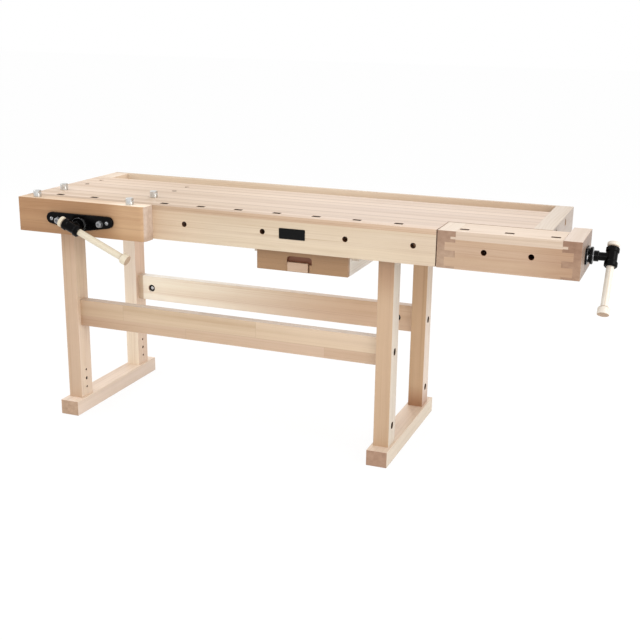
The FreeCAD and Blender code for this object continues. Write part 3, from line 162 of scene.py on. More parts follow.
class Graph:
    """The nodes of one material, or of the sky."""

    def __init__(self, owner: Union[bpy.types.Material, bpy.types.World]) -> None:
        """Empties the nodes of their owner."""
        owner.use_nodes = True
        self.owner = owner
        self.tree = owner.node_tree
        self.tree.nodes.clear()

    def node(
        self, kind: str, settings: Optional[Dict[str, object]] = None, inputs: Optional[Inputs] = None
    ) -> bpy.types.Node:
        """Adds a node.

        Args:
            kind: the node's type.
            settings: its own settings, among them a ramp's stops, set first.
            inputs: values or links of its sockets, by name or number.

        Returns:
            The new node.
        """
        node = self.tree.nodes.new(kind)
        for key, setting in (settings or {}).items():
            if key == "stops":
                self._set_stops(node, setting)
            else:
                setattr(node, key, setting)
        for key, given in (inputs or {}).items():
            if isinstance(given, Value):
                given = given.socket
            if isinstance(given, Socket):
                self.tree.links.new(given, node.inputs[key])
            elif node.inputs[key].type == "RGBA":
                node.inputs[key].default_value = (*given, 1.0)
            else:
                node.inputs[key].default_value = given
        return node

    @staticmethod
    def _set_stops(node: bpy.types.Node, stops: Sequence[Tuple[float, Colour]]) -> None:
        """Gives a ramp its colours.

        Args:
            node: the ramp.
            stops: places from 0 to 1 with their colours.
        """
        elements = node.color_ramp.elements
        while len(elements) < len(stops):
            elements.new(1.0)
        for element, (place, colour) in zip(elements, stops):
            element.position = place
            element.color = (*colour, 1.0)

    def math(self, operation: str, *operands: Number) -> Value:
        """Adds a Math node, with one or two operands."""
        node = self.node("ShaderNodeMath", {"operation": operation}, dict(enumerate(operands)))
        return Value(self, node.outputs[0])

    def split(self, vector: Socket) -> Tuple[Value, Value, Value]:
        """Gives the three parts of a vector."""
        x, y, z = self.node("ShaderNodeSeparateXYZ", None, {0: vector}).outputs
        return Value(self, x), Value(self, y), Value(self, z)

    def join(self, x: Number, y: Number, z: Number) -> Socket:
        """Makes a vector of three values."""
        return self.node("ShaderNodeCombineXYZ", None, {0: x, 1: y, 2: z}).outputs[0]

    def place(self) -> Tuple[Value, Value, Value]:
        """Gives where a point lies, in its piece's own axes."""
        return self.split(self.node("ShaderNodeTexCoord").outputs["Object"])

    def facing(self) -> Tuple[Value, Value, Value]:
        """Gives the way the surface faces, in its piece's own axes."""
        return self.split(self.node("ShaderNodeTexCoord").outputs["Normal"])

    def noise(self, place: Socket, detail: float, roughness: float = 0.5) -> Value:
        """Adds soft noise from 0 to 1, read at a scaled place, with finer layers this strong."""
        inputs = {"Vector": place, "Scale": 1.0, "Detail": detail, "Roughness": roughness}
        return Value(self, self.node("ShaderNodeTexNoise", None, inputs).outputs["Fac"])

    def luck(self, number: Number) -> Value:
        """Gives each whole number its own chance value from 0 to 1."""
        node = self.node("ShaderNodeTexWhiteNoise", {"noise_dimensions": "1D"}, {"W": number})
        return Value(self, node.outputs["Value"])

    def blend(self, share: Number, first: Paint, second: Paint, how: str = "MIX") -> Socket:
        """Mixes two colours, with this share of the second, in one of the ways a Mix node knows."""
        settings = {"data_type": "RGBA", "blend_type": how, "clamp_factor": True}
        return self.node("ShaderNodeMix", settings, {0: share, 6: first, 7: second}).outputs[2]

    def ramp(self, value: Value, stops: Sequence[Tuple[float, Colour]]) -> Socket:
        """Turns a value into a colour."""
        return self.node("ShaderNodeValToRGB", {"stops": stops}, {0: value}).outputs[0]

    def bump(self, height: Value, strength: float, depth: float) -> Socket:
        """Turns a height from 0 to 1, which is this deep in metres, into a bent normal."""
        inputs = {"Height": height, "Strength": strength, "Distance": depth}
        return self.node("ShaderNodeBump", None, inputs).outputs[0]

    def finish(
        self, colour: Socket, roughness: Number, normal: Socket, **constants: float
    ) -> bpy.types.Material:
        """Closes the material with its surface shader.

        Args:
            colour: the base colour.
            roughness: how dull it is.
            normal: a bent normal.
            constants: other sockets of the shader, with underscores for spaces.

        Returns:
            The finished material.
        """
        inputs = {"Base Color": colour, "Roughness": roughness, "Normal": normal}
        inputs.update((key.replace("_", " "), constant) for key, constant in constants.items())
        shader = self.node("ShaderNodeBsdfPrincipled", None, inputs)
        self.node("ShaderNodeOutputMaterial", None, {"Surface": shader.outputs[0]})
        return self.owner


# ------------------------------------------------------------------ finishes
def scaled(tone: Colour, tint: Colour) -> Colour:
    """Gives a tone multiplied by a tint, at most white."""
    red, green, blue = (min(part * share, 1.0) for part, share in zip(tone, tint))
    return red, green, blue


@dataclass(frozen=True)
class HoleShade:
    """A box inside a board, in which every surface is a wall of a hole, coloured dark as painted shade."""

    low: Point
    high: Point
    tone: Colour = (0.050, 0.026, 0.014)

    def over(self, place: Sequence[Value], colour: Socket) -> Socket:
        """Lays the painted shade of the wall over a colour, at the places in the box alone."""
        x, y, z = ((value > low) * (value < high) for value, low, high in zip(place, self.low, self.high))
        return x.graph.blend(x * y * z, colour, self.tone)


@dataclass(frozen=True)
class Fade:
    """A slow change of tone along one direction of a board: some fades are the wood's own tone, others are
    painted light and shade.
    """

    axis: Axis
    start: float
    end: float
    tint: Colour

    def over(self, place: Sequence[Value], colour: Socket) -> Socket:
        """Tints a colour more and more, from the start to the end."""
        share = place[self.axis.value].rise(self.start, self.end)
        return share.graph.blend(share, colour, share.graph.blend(1.0, colour, self.tint, "MULTIPLY"))


@dataclass(frozen=True)
class Fibres:
    """Where a point lies in a board's grain, shifted so that no two staves look alike."""

    along: Value
    across: Value
    through: Value
    shift: Value

    def noise(self, lengthwise: float, sideways: float, detail: float, roughness: float = 0.5) -> Value:
        """Adds noise that changes this fast along the grain and across it."""
        place = (self.along * lengthwise + self.shift, self.across * sideways, self.through * sideways)
        return self.along.graph.noise(self.along.graph.join(*place), detail, roughness)


@dataclass(frozen=True)
class Timber:
    """Planed and oiled beech: staves, growth rings, fibre, flecks and end grain.

    Colours are linear. Lengths are in metres. The layers, which are fades and painted hole shade, lie over
    all of it. The top and side tones are painted light and shade, and so are the side fades, which lie over
    the side tone alone.
    """

    tone: Colour
    grain: Axis = Axis.X
    staves: Axis = Axis.Y
    width: float = 0.06
    offset: float = 0.0
    heart: float = 0.0
    ring: float = 0.0032
    variety: float = 0.45
    streak: float = 1.0
    rings: float = 0.12
    fleck: float = 0.15
    thread: float = 0.35
    seam: float = 0.35
    seam_width: float = 0.0006
    butt_width: float = 0.0009
    end_tone: Colour = (0.46, 0.30, 0.19)
    # Painted light and shade: tones for the faces that look up and the faces that look along X, set to how
    # the light falls on them.
    top_shading_tone: Optional[Colour] = None
    side_shading_tone: Optional[Colour] = None
    light: Colour = (1.12, 1.14, 1.18)
    dark: Colour = (0.82, 0.75, 0.68)
    glue: Colour = (0.30, 0.20, 0.13)
    honey: Colour = (1.005, 1.000, 0.980)
    rose: Colour = (1.000, 0.994, 1.000)
    block: float = 0.0
    edge_width: float = 0.014
    edge_shade: float = 0.0
    roughness: float = 0.46
    facing: Tuple[float, float] = (0.55, 0.80)
    layers: Tuple[Union[Fade, HoleShade], ...] = ()
    # Painted light and shade by height, on the faces that look along X alone.
    side_shading_fades: Tuple[Fade, ...] = ()

    def material(self, name: str, seed: float) -> bpy.types.Material:
        """Builds the wood of one piece.

        Args:
            name: the material's name.
            seed: makes its figure different from the others'.

        Returns:
            The material.
        """
        graph = Graph(bpy.data.materials.new(name))
        place = graph.place()
        facing = graph.facing()
        third = 3 - self.grain.value - self.staves.value
        along, across, through = place[self.grain.value], place[self.staves.value], place[third]

        index, local, joint = self._lamination(along, across, seed)
        chance = graph.luck(index + seed)
        turn = graph.luck(index * 1.37 + (seed + 41.3))
        fibres = Fibres(along, across, through, chance * 7.0 + seed)
        late = self._late_wood(fibres, local, turn)
        fibre = fibres.noise(16.0, 620.0, 2.0, 0.6)
        specks = fibres.noise(150.0, 1500.0, 1.0).rise(0.60, 0.74)
        shade = (
            0.5
            + (chance - 0.5) * self.variety
            + (fibres.noise(0.55, 30.0, 3.0, 0.6) - 0.5) * self.streak
            + (fibres.noise(2.3, 6.0, 2.0) - 0.5) * 0.35
            + (late - 0.35) * self.rings
            + (fibre - 0.5) * 0.30
            + specks * self.fleck
            + fibres.noise(0.9, 210.0, 2.0, 0.6).rise(0.56, 0.72) * self.thread
            + local.rise(self.width / 2 - self.edge_width, self.width / 2) * self.edge_shade * turn
        )

        colour = self._figured(shade, self.tone)
        # Painted light and shade: faces that look up or along X take their own lit or shaded tone.
        if self.top_shading_tone is not None:
            up = facing[Axis.Z.value].rise(*self.facing)
            colour = graph.blend(up, colour, self._figured(shade, self.top_shading_tone))
        if self.side_shading_tone is not None:
            aside = facing[Axis.X.value].size().rise(*self.facing)
            side = self._figured(shade, self.side_shading_tone)
            for fade in self.side_shading_fades:
                side = fade.over(place, side)
            colour = graph.blend(aside, colour, side)
        warmth = fibres.noise(0.8, 19.0, 3.0, 0.55).rise(0.36, 0.64)
        colour = graph.blend(1.0, colour, graph.blend(warmth, self.rose, self.honey), "MULTIPLY")
        glued = joint * (turn * 1.4 + 0.1) * self.seam
        colour = graph.blend(glued, colour, scaled(self.tone, self.glue))
        end = facing[self.grain.value].size().rise(*self.facing)
        colour = graph.blend(end, colour, self._end_grain(fibres, late))
        for layer in self.layers:
            colour = layer.over(place, colour)

        height = late * 0.25 + fibre * 0.55 + specks * -0.3 - joint * 1.0
        gloss = self.roughness + (fibre - 0.5) * 0.14 + end * 0.16 + late * 0.04
        normal = graph.bump(height, 0.35, 0.00022)
        return graph.finish(colour, gloss, normal, Coat_Weight=0.05, Coat_Roughness=0.4)

    def _lamination(self, along: Value, across: Value, seed: float) -> Tuple[Value, Value, Value]:
        """Divides the board into staves, and these into blocks where it has them.

        Args:
            along: the place along the grain.
            across: the place across the staves.
            seed: moves the blocks' ends.

        Returns:
            The number of the stave or block, the place across it from its middle, and the glue
            line, which is 1 at an edge and 0 elsewhere.
        """
        band = (across - self.offset) * (1.0 / self.width)
        index = band.floor()
        local = (band - index - 0.5) * self.width
        joint = local.size().rise(self.width / 2 - self.seam_width, self.width / 2)
        if self.block > 0.0:
            graph = along.graph
            run = along * (1.0 / self.block) + graph.luck(index + (seed + 7.7))
            butt = (run.fraction() - 0.5).size().rise(0.5 - self.butt_width / self.block, 0.5)
            joint = graph.math("MAXIMUM", joint, butt)
            index = index + run.floor() * 31.0
        return index, local, joint

    def _late_wood(self, fibres: Fibres, local: Value, turn: Value) -> Value:
        """Draws growth rings about a heart that wanders along the grain.

        Args:
            fibres: the point's place in the grain.
            local: its place across the stave.
            turn: the stave's chance value, which moves the heart sideways.

        Returns:
            The dark late wood, from 0 to 1.
        """
        wander = fibres.noise(1.1, 5.0, 2.0)
        wide = local + (turn - 0.5) * 0.13
        deep = fibres.through - self.heart + 0.05 + wander * 0.03
        growth = (((wide * wide + deep * deep).root() + wander * 0.011) * (1.0 / self.ring)).fraction()
        return growth.rise(0.35, 0.92) * (1.0 - growth.rise(0.92, 1.0))

    def _figured(self, shade: Value, tone: Colour) -> Socket:
        """Makes a tone lighter or darker, by a shade from 0, light, to 1, dark."""
        stops = [(0.0, scaled(tone, self.light)), (0.5, tone), (1.0, scaled(tone, self.dark))]
        return shade.graph.ramp(shade, stops)

    def _end_grain(self, fibres: Fibres, late: Value) -> Socket:
        """Colours the faces across the grain with rings, pores and patches.

        Args:
            fibres: the point's place in the grain.
            late: the late wood.

        Returns:
            The colour.
        """
        graph = late.graph
        along, across, through = fibres.along, fibres.across, fibres.through
        fine = graph.join(along * 40.0, across * 900.0, through * 900.0)
        broad = graph.join(along * 3.0 + fibres.shift, across * 38.0, through * 60.0)
        pores = graph.noise(fine, 2.0, 0.7)
        patches = graph.noise(broad, 3.0, 0.6)
        shade = 0.38 + late * 0.25 + (pores - 0.5) * 1.2 + (patches - 0.5) * 1.6
        return graph.ramp(shade, [(0.0, scaled(self.end_tone, (1.16, 1.18, 1.21))),
                                  (1.0, scaled(self.end_tone, (0.78, 0.71, 0.66)))])


@dataclass(frozen=True)
class Plywood:
    """Thin birch plywood: a rotary-cut face and a striped edge."""

    tone: Colour
    sheet: float
    grain: Axis = Axis.X

    def material(self, name: str, seed: float) -> bpy.types.Material:
        """Builds the plywood.

        Args:
            name: the material's name.
            seed: makes its figure different from the others'.

        Returns:
            The material.
        """
        graph = Graph(bpy.data.materials.new(name))
        x, y, z = graph.place()
        flat = graph.facing()[Axis.Z.value].size().rise(0.5, 0.7)
        long, short = (x, y) if self.grain is Axis.X else (y, x)
        swirl = graph.noise(graph.join(long * 1.6 + seed, short * 9.0, seed), 3.0, 0.55)
        fibre = graph.noise(graph.join(long * 22.0 + seed, short * 500.0, seed), 2.0)
        pattern = (swirl * 16.0).fraction().rise(0.3, 0.9)
        shade = 0.5 + (swirl - 0.5) * 0.7 + (pattern - 0.5) * 0.25 + (fibre - 0.5) * 0.4
        face = graph.ramp(shade, [(0.0, self._tinted(1.1)), (1.0, self._tinted(0.8))])
        veneer = (z * (1.0 / self.sheet)).fraction() > 0.5
        edge = graph.blend(veneer, self._tinted(0.9), self._tinted(0.5))
        colour = graph.blend(flat, edge, face)
        return graph.finish(colour, 0.55 + (fibre - 0.5) * 0.15, graph.bump(fibre, 0.3, 0.0002))

    def _tinted(self, share: float) -> Colour:
        """Gives a lighter or darker tone."""
        return scaled(self.tone, (share, share ** 1.2, share ** 1.5))


@dataclass(frozen=True)
class Metal:
    """Iron or steel, cast, drawn, turned or plated."""

    tone: Colour
    metallic: float
    roughness: float
    grit: float = 900.0
    relief: float = 0.2
    depth: float = 0.0002
    wear: float = 0.0
    shine: float = 0.5
    # Painted highlight: the pale tone drawn along the edges, as if they caught the light.
    edge: float = 0.0
    highlight_reach: float = 0.0016

    def material(self, name: str, seed: float) -> bpy.types.Material:
        """Builds the metal.

        Args:
            name: the material's name.
            seed: makes its texture different from the others'.

        Returns:
            The material.
        """
        graph = Graph(bpy.data.materials.new(name))
        place = graph.place()
        grain, cloud = (graph.noise(graph.join(*(value * scale + seed for value in place)), 3.0, 0.6)
                        for scale in (self.grit, 60.0))
        stops = [(0.25, scaled(self.tone, (0.82,) * 3)), (0.75, scaled(self.tone, (1.12,) * 3))]
        colour = graph.ramp(grain * 0.5 + cloud * 0.5, stops)
        worn = tuple(min(part * 2.2 + 0.02, 1.0) for part in self.tone)
        colour = graph.blend(cloud.rise(0.55, 0.75) * self.wear, colour, worn)
        # Painted highlight: the edges, found where a bevelled normal bends away, are made pale.
        if self.edge > 0.0:
            soft = graph.node("ShaderNodeBevel", {"samples": 4}, {"Radius": self.highlight_reach})
            flat = graph.node("ShaderNodeNewGeometry").outputs["Normal"]
            match = graph.node("ShaderNodeVectorMath", {"operation": "DOT_PRODUCT"},
                               {0: soft.outputs[0], 1: flat})
            bent = 1.0 - Value(graph, match.outputs["Value"])
            colour = graph.blend(bent.rise(0.01, 0.16), colour, (self.edge,) * 3)
        gloss = self.roughness + (cloud - 0.5) * 0.16 + (grain - 0.5) * 0.10
        normal = graph.bump(grain, self.relief, self.depth)
        return graph.finish(colour, gloss, normal, Metallic=self.metallic, Specular_IOR_Level=self.shine)


Finish = Union[Timber, Plywood, Metal]

# The cast iron's pale edges are a painted highlight.
CAST_IRON = Metal((0.0022, 0.0019, 0.0021), 0.0, 0.20, grit=420.0, relief=0.35, depth=0.0004, wear=0.15,
                  shine=0.07, edge=0.30)
ZINC = Metal((0.66, 0.67, 0.69), 1.0, 0.26, grit=700.0, relief=0.12, wear=0.2)
DRAWN_STEEL = Metal((0.44, 0.44, 0.45), 1.0, 0.30, grit=1400.0, relief=0.1, wear=0.1)
DOG_STEEL = Metal((0.60, 0.60, 0.585), 1.0, 0.36, grit=1400.0, relief=0.05)
BRIGHT_STEEL = Metal((0.34, 0.34, 0.35), 1.0, 0.28, relief=0.10, wear=0.1)
BLACK_STEEL = Metal((0.012, 0.011, 0.011), 0.5, 0.40, grit=800.0, wear=0.4, shine=0.3)
BARE_PLATE = Metal((0.0035, 0.0035, 0.0035), 0.0, 0.34, grit=1800.0, relief=0.10, depth=0.0001, shine=0.12)


# ------------------------------------------------------------------ mesh building
class Turner:
    """Turns, threads and joins meshes about their own Z."""

    @staticmethod
    def skin(mesh: Mesh, rows: Sequence[Sequence[bmesh.types.BMVert]]) -> None:
        """Joins closed rows of points, each with the next, by faces."""
        for lower, upper in zip(rows, rows[1:]):
            for i in range(len(lower)):
                j = (i + 1) % len(lower)
                mesh.faces.new((lower[i], lower[j], upper[j], upper[i]))

    @staticmethod
    def lathe(rings: Sequence[Ring], segments: int = 48, top: bool = True) -> Mesh:
        """Turns an outline.

        Args:
            rings: (radius, height) points from the bottom up.
            segments: how many sides each ring has.
            top: whether the last ring is closed with a face.

        Returns:
            The turned mesh.
        """
        mesh = bmesh.new()
        angles = [math.tau * i / segments for i in range(segments)]
        turns = [(math.cos(angle), math.sin(angle)) for angle in angles]
        rows = [[mesh.verts.new((radius * x, radius * y, height)) for x, y in turns]
                for radius, height in rings]
        Turner.skin(mesh, rows)
        mesh.faces.new(list(reversed(rows[0])))
        if top:
            mesh.faces.new(rows[-1])
        return mesh

    @staticmethod
    def thread(radius: float, pitch: float, start: float, end: float, length: float) -> Mesh:
        """Cuts a trapezoid thread into a bar.

        Args:
            radius: of the bar and of the thread's crest.
            pitch: from turn to turn.
            start: height where the thread starts.
            end: height where it ends.
            length: of the whole bar.

        Returns:
            The threaded bar, from height 0 up.
        """
        depth = 0.0022
        steps_per_turn = 7.0
        half_crest = 0.14
        flank = 0.16
        step = pitch / steps_per_turn
        count = int((end - start) / step)
        heights = [0.0] + [start + step * i for i in range(-1, count + 2)] + [length]
        mesh = Turner.lathe([(radius, height) for height in heights], 28)
        for vertex in mesh.verts:
            height = vertex.co.z
            if start <= height <= end:
                angle = math.atan2(vertex.co.y, vertex.co.x) / math.tau
                phase = (height / pitch - angle) % 1.0
                groove = min(max((abs(phase - 0.5) - half_crest) / flank, 0.0), 1.0)
                fade = min((height - start) / pitch, (end - height) / pitch, 1.0)
                share = (radius - depth * (1.0 - groove) * fade) / radius
                vertex.co.x *= share
                vertex.co.y *= share
        return mesh

    @staticmethod
    def rounded(outline: Sequence[Ring], corners: Dict[int, float], steps: int = 5) -> List[Ring]:
        """Rounds some corners of an outline.

        Args:
            outline: (radius, height) points.
            corners: how far from a numbered point its rounding starts.
            steps: how many points each rounding gets.

        Returns:
            The outline with its rounded corners.
        """
        result: List[Ring] = []
        for number, point in enumerate(outline):
            if number not in corners:
                result.append(point)
                continue
            here = Vector(point)
            before, after = Vector(outline[number - 1]) - here, Vector(outline[number + 1]) - here
            first, last = (here + way.normalized() * min(corners[number], way.length * 0.49)
                           for way in (before, after))
            for t in (i / steps for i in range(steps + 1)):
                result.append(tuple(first * (1 - t) ** 2 + here * (2 * t * (1 - t)) + last * t ** 2))
        return result

    @staticmethod
    def add(target: Mesh, part: Mesh, place: Matrix) -> None:
        """Adds a placed part to a mesh, and frees the part.

        Args:
            target: the mesh that grows.
            part: what is added.
            place: where it goes.
        """
        part.transform(place)
        scratch = bpy.data.meshes.new("scratch")
        part.to_mesh(scratch)
        target.from_mesh(scratch)
        bpy.data.meshes.remove(scratch)
        part.free()


def upright(origin: Sequence[float], direction: Sequence[float]) -> Matrix:
    """Gives the matrix that puts a piece at an origin, with its own Z along a direction."""
    turn = Vector(direction).to_track_quat("Z", "Y").to_matrix().to_4x4()
    return Matrix.Translation(Vector(origin)) @ turn


def linked(name: str, data: bpy.types.ID) -> bpy.types.Object:
    """Puts a new object with this data into the scene."""
    thing = bpy.data.objects.new(name, data)
    bpy.context.scene.collection.objects.link(thing)
    return thing


@dataclass
class Workshop:
    """Turns meshes into pieces that ride on the bench's bodies, and dresses its solids."""

    made: int = 0

    def piece(
        self,
        name: str,
        mesh: Union[Mesh, bpy.types.Mesh],
        body: str,
        slot: str,
        material: bpy.types.Material,
        node: str,
        place: Optional[Matrix] = None,
        crease: float = 32.0,
    ) -> None:
        """Adds one piece.

        Args:
            name: its name.
            mesh: its mesh, freed here when it is still being edited.
            body: the body that carries it.
            slot: the finish slot it belongs to; not used.
            material: its material.
            node: the solid that it stands for.
            place: where its own axes go.
            crease: the angle in degrees above which an edge stays sharp.
        """
        if isinstance(mesh, Mesh):
            data = bpy.data.meshes.new(name)
            bmesh.ops.recalc_face_normals(mesh, faces=mesh.faces)
            mesh.to_mesh(data)
            mesh.free()
        else:
            data = mesh
        data.materials.clear()
        data.materials.append(material)
        thing = linked(name, data)
        if place is not None:
            thing.matrix_world = place
        data.shade_smooth()
        data.set_sharp_from_angle(angle=math.radians(crease))
        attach(thing, body)
        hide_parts(node)
        self.made += 1
        log.info("piece %s on %s", name, body)

    def dress(self, finishes: Sequence[Tuple[str, Finish]], seed: float, step: float = 2.0) -> None:
        """Gives solids their finishes, each with a figure of its own.

        Args:
            finishes: the solids' names with their finishes.
            seed: the first one's seed.
            step: from one seed to the next.
        """
        for count, (node, finish) in enumerate(finishes):
            material = finish.material(node + "_finish", seed + step * count)
            for place in frame["nodes"][node].material_slots:
                place.material = material
            log.info("dressed %s", node)

    def cast(self, node: str, voxel: float, passes: int) -> bpy.types.Mesh:
        """Copies a solid and softens it, as a casting's corners are.

        Args:
            node: the solid's name.
            voxel: the size of the new facets.
            passes: how often it is smoothed.

        Returns:
            The softened mesh.
        """
        thing = linked(node + ".pattern", frame["nodes"][node].data.copy())
        remesh = thing.modifiers.new("facets", "REMESH")
        remesh.mode = "VOXEL"
        remesh.voxel_size = voxel
        smooth = thing.modifiers.new("soft", "SMOOTH")
        smooth.factor = 0.5
        smooth.iterations = passes
        bpy.context.view_layer.update()
        ready = thing.evaluated_get(bpy.context.evaluated_depsgraph_get())
        mesh = bpy.data.meshes.new_from_object(ready)
        bpy.data.objects.remove(thing)
        return mesh


class Fastener:
    """Bolt and screw heads, standing on their own Z from the seat up."""

    @staticmethod
    def hexagon(radius: float, height: float, washer: float) -> Mesh:
        """Makes a hexagon head on a washer.

        Args:
            radius: to the hexagon's corners.
            height: of the head above the washer.
            washer: the washer's radius.

        Returns:
            The head.
        """
        thick = 0.0016
        arris = 0.0004
        chamfer = 0.0012
        mesh = Turner.lathe([(washer - arris, 0.0), (washer, arris), (washer, thick - arris),
                             (washer - arris, thick)], 40)
        head = Turner.lathe([(radius, thick), (radius, thick + height - chamfer),
                             (radius * 0.90, thick + height)], 6)
        Turner.add(mesh, head, Matrix.Identity(4))
        return mesh

    @staticmethod
    def socket(radius: float, height: float, key: float, deep: float) -> Mesh:
        """Makes a round head with a hexagon socket.

        Args:
            radius: of the head.
            height: of the head.
            key: the socket's radius to its corners.
            deep: the socket's depth.

        Returns:
            The head.
        """
        sides = 48
        outline = Turner.rounded([(radius, 0.0), (radius, height), (radius * 0.62, height)], {1: 0.0022})
        mesh = Turner.lathe(outline, sides, top=False)
        mesh.verts.ensure_lookup_table()
        rows = [list(mesh.verts)[-sides:]]
        for level in (height, height - deep):
            row = []
            for angle in (math.tau * i / sides for i in range(sides)):
                from_flat = (angle % (math.tau / 6)) - math.tau / 12
                reach = key * math.cos(math.pi / 6) / math.cos(from_flat)
                row.append(mesh.verts.new((reach * math.cos(angle), reach * math.sin(angle), level)))
            rows.append(row)
        Turner.skin(mesh, rows)
        mesh.faces.new(rows[-1])
        return mesh

    @staticmethod
    def slotted(radius: float, height: float, slot: float) -> Mesh:
        """Makes a domed head with a driver slot.

        Args:
            radius: of the head.
            height: of the dome.
            slot: half the width of the slot.

        Returns:
            The head.
        """
        steps = 7
        turns = [math.pi / 2 * i / steps for i in range(steps + 1)]
        dome = [(radius * math.cos(turn * 0.96), height * math.sin(turn)) for turn in turns]
        mesh = Turner.lathe([(radius, -0.0002)] + dome, 40)
        floor = height - height * 0.55
        for side in (slot, -slot):
            everything = mesh.verts[:] + mesh.edges[:] + mesh.faces[:]
            bmesh.ops.bisect_plane(mesh, geom=everything, plane_co=(side, 0, 0), plane_no=(1, 0, 0))
        for vertex in mesh.verts:
            if abs(vertex.co.x) < slot * 0.9 and vertex.co.z > floor:
                vertex.co.z = floor
        return mesh


# ------------------------------------------------------------------ sub-assemblies
@dataclass
class Studio:
    """The white room: camera, floor, lamps and sky."""

    eye: Point = (1.37353, -3.56112, 1.57209)
    turn: Point = (73.59602, -0.80953, 21.12997)
    lens: float = 58.8765
    floor_size: float = 60.0
    floor_tone: float = 0.90
    glow: float = 1.03
    glow_share: float = 0.88
    sky: float = 0.78

    def build(self) -> None:
        """Builds the whole studio."""
        self.camera()
        self.floor()
        for name, place, target, size, power in (
            ("right", (3.6, -1.2, 1.9), (0.3, 0.0, 0.45), 2.6, 75.0),
            ("left", (-3.6, -1.0, 2.4), (-0.3, 0.0, 0.40), 2.4, 40.0),
            ("back", (-0.6, 3.4, 3.3), (0.0, 0.2, 0.40), 2.4, 50.0),
            ("front", (0.2, -4.6, 2.4), (0.0, 0.0, 0.45), 2.6, 36.0),
        ):
            self.lamp(name, place, target, size, power)
        self.light_sky()
        bpy.context.scene.view_settings.view_transform = "Standard"
        log.info("studio")

    def camera(self) -> None:
        """Sets the camera at the viewer's place."""
        data = bpy.data.cameras.new("viewer")
        data.lens = self.lens
        data.sensor_width = 36.0
        data.clip_end = 100.0
        viewer = linked("viewer", data)
        viewer.location = self.eye
        viewer.rotation_euler = Euler([math.radians(angle) for angle in self.turn], "XYZ")
        bpy.context.scene.camera = viewer

    @staticmethod
    def lamp(name: str, place: Point, target: Point, size: float, power: float) -> None:
        """Hangs a soft square lamp.

        Args:
            name: its name.
            place: where it hangs.
            target: what it points at.
            size: the length of its side.
            power: in watts.
        """
        data = bpy.data.lights.new(name, "AREA")
        data.shape = "SQUARE"
        data.size = size
        data.energy = power
        linked(name, data).matrix_world = upright(place, Vector(place) - Vector(target))

    @staticmethod
    def seen(graph: Graph) -> Value:
        """Marks the rays that come from the camera, a mirror or a glass."""
        rays = graph.node("ShaderNodeLightPath").outputs
        direct, mirrored, passed = (Value(graph, rays[f"Is {kind} Ray"])
                                    for kind in ("Camera", "Glossy", "Transmission"))
        return graph.math("MINIMUM", direct + mirrored + passed, 1.0)

    def floor(self) -> None:
        """Lays the pale floor, which keeps a soft shadow."""
        graph = Graph(bpy.data.materials.new("pale_floor"))
        diffuse = graph.node("ShaderNodeBsdfDiffuse", None, {"Color": (self.floor_tone,) * 3})
        glow = graph.node("ShaderNodeEmission", None, {"Color": WHITE, "Strength": self.glow})
        inputs = {0: self.seen(graph) * self.glow_share, 1: diffuse.outputs[0], 2: glow.outputs[0]}
        mixed = graph.node("ShaderNodeMixShader", None, inputs)
        graph.node("ShaderNodeOutputMaterial", None, {"Surface": mixed.outputs[0]})
        mesh = bmesh.new()
        bmesh.ops.create_grid(mesh, x_segments=4, y_segments=4, size=self.floor_size / 2)
        data = bpy.data.meshes.new("floor")
        mesh.to_mesh(data)
        mesh.free()
        data.materials.append(graph.owner)
        linked("floor", data)

    def light_sky(self) -> None:
        """Lights everything softly, and shows white behind it."""
        world = bpy.data.worlds.new("sky")
        bpy.context.scene.world = world
        graph = Graph(world)
        shown = self.seen(graph)
        inputs = {"Color": WHITE, "Strength": shown + (1.0 - shown) * self.sky}
        back = graph.node("ShaderNodeBackground", None, inputs)
        graph.node("ShaderNodeOutputWorld", None, {"Surface": back.outputs[0]})


